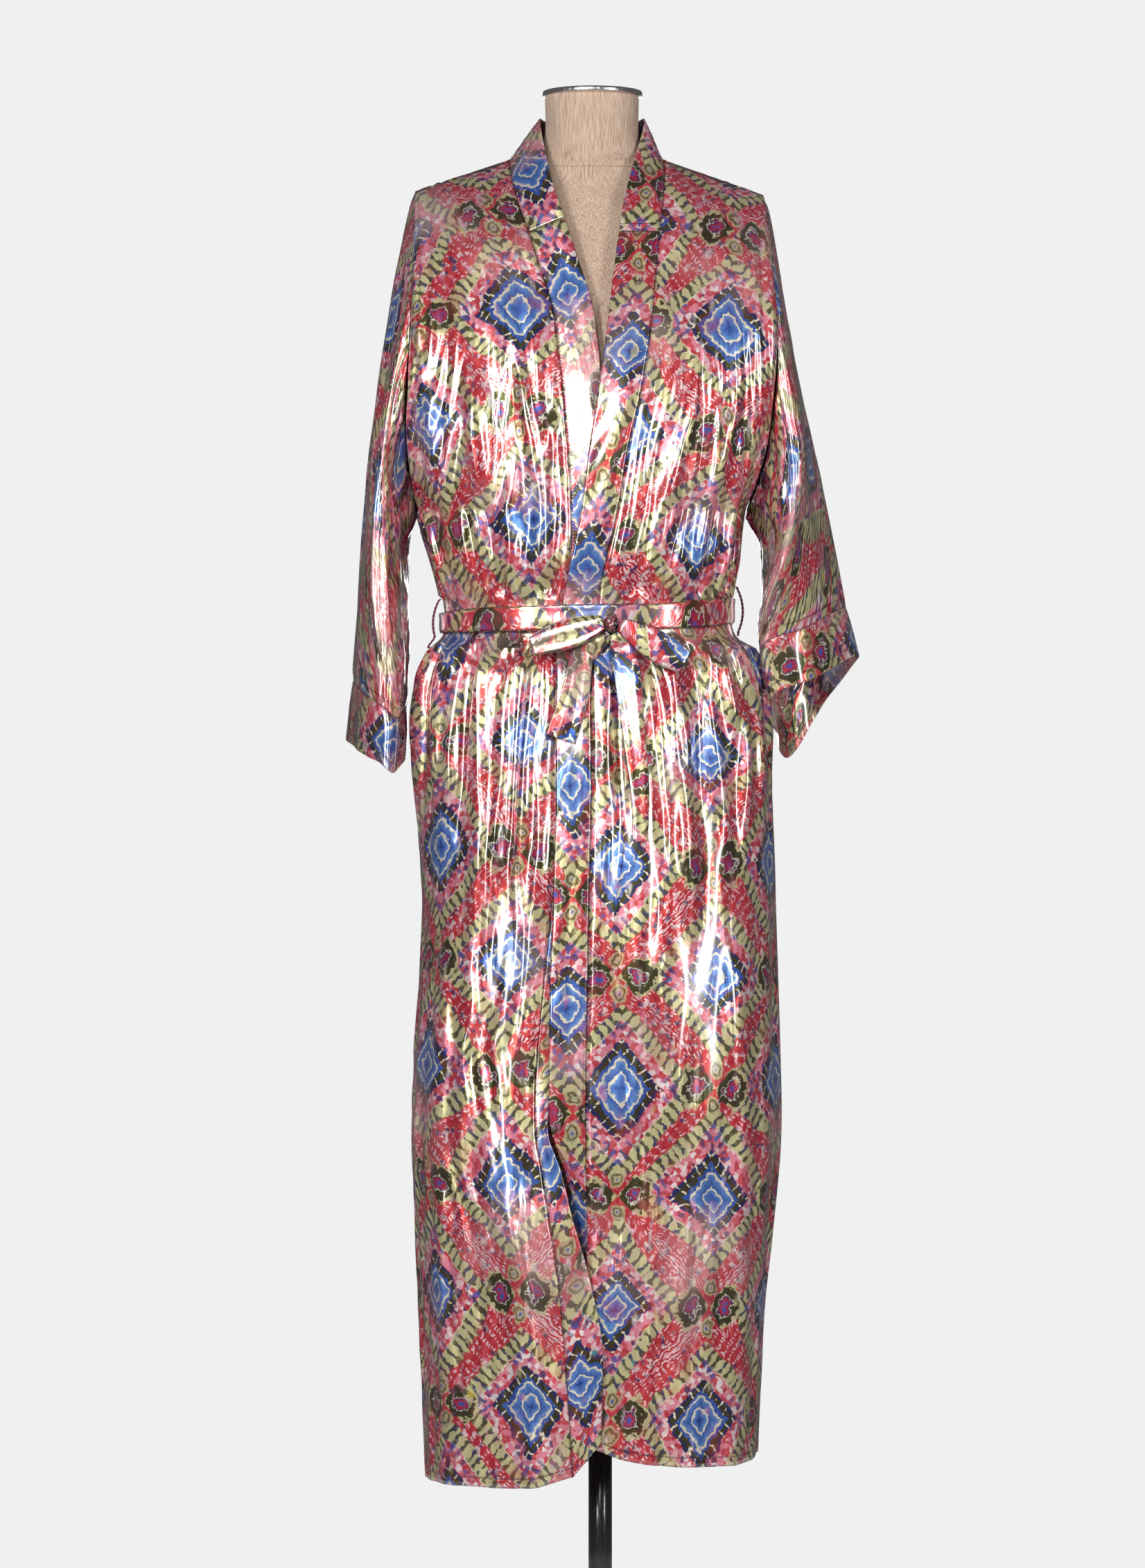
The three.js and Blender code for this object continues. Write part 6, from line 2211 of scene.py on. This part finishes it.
def foil_crinkle() -> bpy.types.NodeTree:
    """The foil face's crinkle: ridged noise stretched down the cloth, in three sizes, calmer in places.

    Returns:
        The group, with the outputs Height and Gloss.
    """
    inputs = (("Vector", VECTOR, None), ("Amount", VALUE, 1.0))
    tree, w, given, out = new_group("foil_crinkle", inputs, (("Height", VALUE), ("Gloss", VALUE)))
    place = given.outputs["Vector"]

    def ridges(scale: tuple[float, float, float], detail: float) -> Socket:
        """Ridged noise: how far the noise lies from its middle value, so that creases are sharp."""
        drift = w.vector("SUBTRACT", w.noise(place, 11.0, 1.0, 1), (0.5, 0.5, 0.5))
        bent = w.vector("MULTIPLY_ADD", drift, (0.03, 0.03, 0.0), place)
        value = w.noise(w.stretched(bent, scale), 1.0, detail)
        return w.calc("ABSOLUTE", w.calc("SUBTRACT", value, 0.5))

    large = w.calc("MULTIPLY", ridges((24.0, 3.0, 1.0), 1.0), 6.0)
    middle = w.calc("MULTIPLY", ridges((80.0, 9.0, 1.0), 1.0), 1.1)
    fine = w.calc("MULTIPLY", ridges((260.0, 60.0, 1.0), 2.0), 0.22)
    calm = w.soft(w.noise(place, 9.0, 2.0), 0.36, 0.62, 0.35, 1.0)
    height = w.calc("MULTIPLY", w.calc("ADD", w.calc("ADD", large, middle), fine), calm)
    w.put(out.inputs["Height"], w.calc("MULTIPLY", height, given.outputs["Amount"]))
    w.put(out.inputs["Gloss"], w.noise(w.stretched(place, (40.0, 14.0, 1.0)), 1.0, 3.0))
    return tree


def fine_weave() -> bpy.types.NodeTree:
    """Threads that cross: two waves at right angles, added together, with uneven threads.

    Returns:
        The group, with the outputs Height and Slub.
    """
    inputs = (("Vector", VECTOR, None), ("Across", VALUE, 900.0), ("Along", VALUE, 900.0))
    tree, w, given, out = new_group("fine_weave", inputs, (("Height", VALUE), ("Slub", VALUE)))
    x, y, z = w.split(given.outputs["Vector"])
    around = w.calc("ADD", x, y)
    turns = 2 * math.pi
    warp = w.calc(
        "ABSOLUTE",
        w.calc("SINE", w.calc("MULTIPLY", w.calc("MULTIPLY", around, given.outputs["Across"]), turns / 2))
    )
    weft = w.calc(
        "ABSOLUTE",
        w.calc("SINE", w.calc("MULTIPLY", w.calc("MULTIPLY", z, given.outputs["Along"]), turns / 2))
    )
    slub = w.noise(w.stretched(given.outputs["Vector"], (900.0, 900.0, 60.0)), 1.0, 3.0)
    height = w.calc("ADD", w.calc("MULTIPLY", warp, 0.6), w.calc("MULTIPLY", weft, 0.4))
    w.put(out.inputs["Height"], w.calc("ADD", height, w.calc("MULTIPLY", slub, 1.4)))
    w.put(out.inputs["Slub"], slub)
    return tree


def dust_and_wear() -> bpy.types.NodeTree:
    """Fine marks and a veil of dust, from noise of two sizes.

    Returns:
        The group, with the outputs Marks and Dust.
    """
    inputs = (("Vector", VECTOR, None),)
    tree, w, given, out = new_group("dust_and_wear", inputs, (("Marks", VALUE), ("Dust", VALUE)))
    place = given.outputs["Vector"]
    w.put(out.inputs["Marks"], w.soft(w.noise(w.stretched(place, (900.0, 900.0, 60.0)), 1.0, 4.0), 0.52, 0.7))
    w.put(out.inputs["Dust"], w.soft(w.noise(place, 45.0, 5.0), 0.45, 0.75))
    return tree


@dataclass
class Groups:
    """The shader groups, each built once."""

    lattice: bpy.types.NodeTree = field(default_factory=stitched_resist_lattice)
    crinkle: bpy.types.NodeTree = field(default_factory=foil_crinkle)
    weave: bpy.types.NodeTree = field(default_factory=fine_weave)
    dust: bpy.types.NodeTree = field(default_factory=dust_and_wear)


@dataclass(frozen=True)
class Finish:
    """A finish: its name, and what is the same all over it."""

    name: str
    roughness: float = 0.5
    metallic: float = 0.0
    coat: float = 0.0
    coat_roughness: float = 0.1
    sheen: float = 0.0

    def start(self) -> tuple[bpy.types.Material, Wiring, bpy.types.Node]:
        """A material with its shader, output and constants.

        Returns:
            The material, its wiring and the shader node.
        """
        material = bpy.data.materials.new(self.name)
        material.use_nodes = True
        w = Wiring(material.node_tree)
        shader = w.node("ShaderNodeBsdfPrincipled")
        for socket, value in (
            ("Roughness", self.roughness),
            ("Metallic", self.metallic),
            ("Coat Weight", self.coat),
            ("Coat Roughness", self.coat_roughness),
            ("Sheen Weight", self.sheen),
        ):
            shader.inputs[socket].default_value = value
        w.put(w.node("ShaderNodeOutputMaterial").inputs["Surface"], shader.outputs[0])
        return material, w, shader

    @staticmethod
    def bump(
        w: Wiring, shader: bpy.types.Node, height: Socket, distance: float
    ) -> None:
        """Join a height to the shader's normal; distance is in metres."""
        made = w.node("ShaderNodeBump")
        made.inputs["Distance"].default_value = distance
        w.put(made.inputs["Height"], height)
        w.put(shader.inputs["Normal"], made.outputs[0])


@dataclass(frozen=True)
class FoilSatin(Finish):
    """Satin with a resist print under a clear foil face, and painted shade along its seams, edges and hem
    fold.
    """

    roughness: float = 0.3
    metallic: float = 0.4
    coat: float = 1.0
    coat_roughness: float = 0.14
    film: float = 420.0
    crinkle: float = 1.0
    seam_width: float = 0.0022
    seam_shade: float = 0.7
    coat_ior: float = 1.95
    film_ior: float = 1.33
    hem_fold: tuple[float, float, float] = (0.0085, 0.0095, 0.0115)
    hem_shade: float = 0.4
    relief: float = 0.0022

    def build(self, groups: Groups) -> bpy.types.Material:
        """The material, on the cloth's own coordinates.

        Args:
            groups: the shader groups.

        Returns:
            The material.
        """
        material, w, shader = self.start()
        shader.inputs["Coat IOR"].default_value = self.coat_ior
        shader.inputs["Thin Film Thickness"].default_value = self.film
        shader.inputs["Thin Film IOR"].default_value = self.film_ior
        cloth = w.node("ShaderNodeUVMap", uv_map=UV_NAME).outputs[0]
        # The print, with painted glints of highlight mixed into it.
        printed = w.group(groups.lattice, Vector=cloth)
        face = w.group(groups.crinkle, Vector=cloth, Amount=self.crinkle)
        colour = printed.outputs["Color"]
        height = face.outputs["Height"]
        seam = w.node("ShaderNodeAttribute", attribute_name=SEAM_NAME).outputs["Fac"]
        hem = w.node("ShaderNodeAttribute", attribute_name=HEM_NAME).outputs["Fac"]
        # Painted shade: the colour darkens towards each seam and strap edge, and in a band along the hem's
        # stitched fold.
        shade = w.soft(seam, 0.0, self.seam_width, self.seam_shade, 1.0)
        start, middle, end = self.hem_fold
        fold = w.calc("MULTIPLY", w.soft(hem, start, middle), w.soft(hem, middle, end, 1.0, 0.0))
        fold = w.calc("MULTIPLY", fold, self.hem_shade)
        shade = w.calc("SUBTRACT", shade, fold)
        colour = w.blend(w.calc("SUBTRACT", 1.0, shade), colour, linear(60, 34, 44), "MULTIPLY")
        height = w.calc("SUBTRACT", height, fold)
        w.put(shader.inputs["Base Color"], colour)
        gloss = w.soft(face.outputs["Gloss"], 0.3, 0.75, self.roughness - 0.1, self.roughness + 0.14)
        w.put(shader.inputs["Roughness"], gloss)
        self.bump(w, shader, height, self.relief)
        return material


@dataclass(frozen=True)
class Linen(Finish):
    """Matt linen with an upright weave and uneven threads."""

    roughness: float = 0.9
    sheen: float = 0.25

    def build(self, groups: Groups) -> bpy.types.Material:
        """The material, on object coordinates."""
        material, w, shader = self.start()
        place = w.node("ShaderNodeTexCoord").outputs["Object"]
        woven = w.group(groups.weave, Vector=place, Across=520.0, Along=700.0)
        slub = woven.outputs["Slub"]
        broad = w.noise(place, 14.0, 3.0)
        colour = w.ramp(
            slub, ((0.3, linear(160, 132, 112)), (0.5, linear(200, 172, 150)), (0.7, linear(218, 195, 176)))
        )
        colour = w.blend(w.soft(broad, 0.4, 0.7, 0.0, 0.25), colour, linear(168, 138, 112))
        w.put(shader.inputs["Base Color"], colour)
        self.bump(w, shader, woven.outputs["Height"], 0.0003)
        return material


@dataclass(frozen=True)
class Metal(Finish):
    """Metal or gloss paint with fine marks and dust."""

    colour: tuple[float, float, float, float] = (0.8, 0.8, 0.81, 1.0)
    marked: tuple[float, float, float, float] = (0.55, 0.55, 0.56, 1.0)
    dusty: tuple[float, float, float, float] = (0.4, 0.4, 0.4, 1.0)
    marks: float = 0.25
    dust: float = 0.1
    depth: float = 0.00004

    def build(self, groups: Groups) -> bpy.types.Material:
        """The material, on object coordinates."""
        material, w, shader = self.start()
        place = w.node("ShaderNodeTexCoord").outputs["Object"]
        worn = w.group(groups.dust, Vector=place)
        marks, dust = worn.outputs["Marks"], worn.outputs["Dust"]
        colour = w.blend(w.calc("MULTIPLY", marks, self.marks), self.colour, self.marked)
        colour = w.blend(w.calc("MULTIPLY", dust, self.dust), colour, self.dusty)
        w.put(shader.inputs["Base Color"], colour)
        spread = w.calc("ADD", w.calc("MULTIPLY", marks, 0.12), w.calc("MULTIPLY", dust, 0.1))
        w.put(shader.inputs["Roughness"], w.calc("ADD", spread, self.roughness))
        self.bump(w, shader, marks, self.depth)
        return material


@dataclass(frozen=True)
class Thread(Finish):
    """Twisted thread."""

    roughness: float = 0.55
    sheen: float = 0.3
    colour: tuple[float, float, float, float] = (0.2, 0.02, 0.05, 1.0)

    def build(self) -> bpy.types.Material:
        """The material: fine slanted strands on object coordinates."""
        material, w, shader = self.start()
        place = w.node("ShaderNodeTexCoord").outputs["Object"]
        strands = w.noise(w.stretched(place, (1900.0, 1900.0, 900.0)), 1.0, 2.0)
        dark = tuple(part * 0.55 for part in self.colour[:3]) + (1.0,)
        w.put(shader.inputs["Base Color"], w.blend(w.soft(strands, 0.35, 0.6), dark, self.colour))
        self.bump(w, shader, strands, 0.0002)
        return material


@dataclass
class Studio:
    """The camera, the pale surroundings and the soft lights."""

    camera_place: tuple[float, float, float] = (-0.0292, -5.5, 1.017)
    frame_height: float = 1.652
    sensor: float = 36.0
    backdrop: float = 0.871
    surround: float = 0.1
    floor_radius: float = 1.2

    def camera(self) -> None:
        """The camera at the photograph's angle, with the photograph's frame."""
        data = bpy.data.cameras.new("camera")
        data.sensor_fit = "VERTICAL"
        data.sensor_height = self.sensor
        data.lens = self.sensor * -self.camera_place[1] / self.frame_height
        made = bpy.data.objects.new("camera", data)
        made.location = self.camera_place
        made.rotation_euler = (math.pi / 2, 0, 0)
        bpy.context.scene.collection.objects.link(made)
        bpy.context.scene.camera = made

    def world(self) -> None:
        """Pale backdrop for the eye, and a greyer one for light and reflections."""
        world = bpy.data.worlds.new("studio")
        world.use_nodes = True
        w = Wiring(world.node_tree)
        seen = w.node("ShaderNodeLightPath").outputs["Is Camera Ray"]
        level = w.calc("MULTIPLY_ADD", seen, self.backdrop - self.surround, self.surround)
        back = w.node("ShaderNodeBackground")
        back.inputs["Color"].default_value = (1, 1, 1, 1)
        w.put(back.inputs["Strength"], level)
        w.put(w.node("ShaderNodeOutputWorld").inputs["Surface"], back.outputs[0])
        bpy.context.scene.world = world
        bpy.context.scene.view_settings.view_transform = "Standard"

    def light(
        self, name: str, place: tuple, target: tuple, size: tuple, energy: float
    ) -> None:
        """A soft box, aimed at a target; energy in watts and sizes in metres."""
        data = bpy.data.lights.new(name, "AREA")
        data.shape = "RECTANGLE"
        data.size, data.size_y = size
        data.energy = energy
        made = bpy.data.objects.new(name, data)
        made.location = place
        aim = Vector(target) - Vector(place)
        made.rotation_euler = aim.to_track_quat("-Z", "Y").to_euler()
        bpy.context.scene.collection.objects.link(made)

    def floor(self) -> None:
        """A plain pale floor, just below the frame."""
        angle = np.arange(96) / 96 * 2 * math.pi
        radius = np.array([self.floor_radius, 0.6, 0.3, 0.0005])[:, None] / MM
        points = np.stack([radius * np.cos(angle), radius * np.sin(angle), 0 * radius * angle - 1.0], axis=-1)
        faces = grid_faces(len(radius), 96, ring=True)
        made = mesh_object("floor", points, turned_out(points, faces, np.zeros_like(points) + [0, 0, 1]), 0.0)
        material, w, shader = Finish("floor_paint", roughness=0.75).start()
        place = w.node("ShaderNodeTexCoord").outputs["Object"]
        grain = w.soft(w.noise(place, 9.0, 4.0), 0.3, 0.7)
        w.put(shader.inputs["Base Color"], w.blend(grain, linear(228, 228, 228), linear(236, 236, 236)))
        made.data.materials.append(material)

    def build(self) -> None:
        """Make the camera, the surroundings, the floor and the lights."""
        self.camera()
        self.world()
        self.floor()
        middle = (0.0, 0.0, 1.1)
        self.light("strip_left", (-1.4, -2.8, 1.7), middle, (0.34, 1.9), 58)
        self.light("strip_right", (1.9, -2.1, 1.6), middle, (0.2, 1.9), 34)
        self.light("front_soft", (-0.5, -4.0, 2.2), (0, 0, 1.35), (0.7, 1.1), 48)
        self.light("back_soft", (0.0, 4.2, 1.6), middle, (0.8, 1.7), 60)


def main() -> None:
    """Build the scene: camera, robe, belt, form and stand."""
    logging.basicConfig(level=logging.INFO, format="%(name)s: %(message)s")
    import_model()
    Studio().build()
    groups = Groups()
    satin = FoilSatin("foil_satin").build(groups)
    band_satin = FoilSatin("foil_satin_band", crinkle=0.7).build(groups)
    belt_satin = FoilSatin(
        "foil_satin_belt", coat=0.6, crinkle=0.5, seam_width=0.003, seam_shade=0.35
    ).build(groups)
    linen = Linen("linen_cover").build(groups)
    chrome = Metal("polished_cap", roughness=0.16, metallic=1.0).build(groups)
    steel = Metal(
        "brushed_rod", roughness=0.32, metallic=1.0, colour=(0.36, 0.36, 0.38, 1), depth=0.0001
    ).build(groups)
    paint = Metal(
        "gloss_paint", roughness=0.2, coat=0.4, colour=(0.012, 0.012, 0.014, 1), marked=(0.05, 0.05, 0.05, 1),
        dusty=(0.12, 0.12, 0.12, 1),
    ).build(groups)
    plastic = Metal(
        "knob_plastic", roughness=0.3, coat=0.2, colour=(
            0.015, 0.015, 0.017, 1
        ), marked=(0.06, 0.06, 0.06, 1),
        dusty=(0.15, 0.15, 0.15, 1),
    ).build(groups)
    red_thread = Thread("red_thread").build()
    linen_thread = Thread("linen_thread", colour=(0.3, 0.2, 0.13, 1)).build()
    robe = Robe(satin, band_satin)
    robe.build()
    Stitching(red_thread, robe.laid).build()
    Belt(belt_satin, red_thread).build()
    DressForm(linen, linen_thread, chrome).build()
    Stand(paint, steel, plastic).build()


if __name__ == "__main__":
    main()
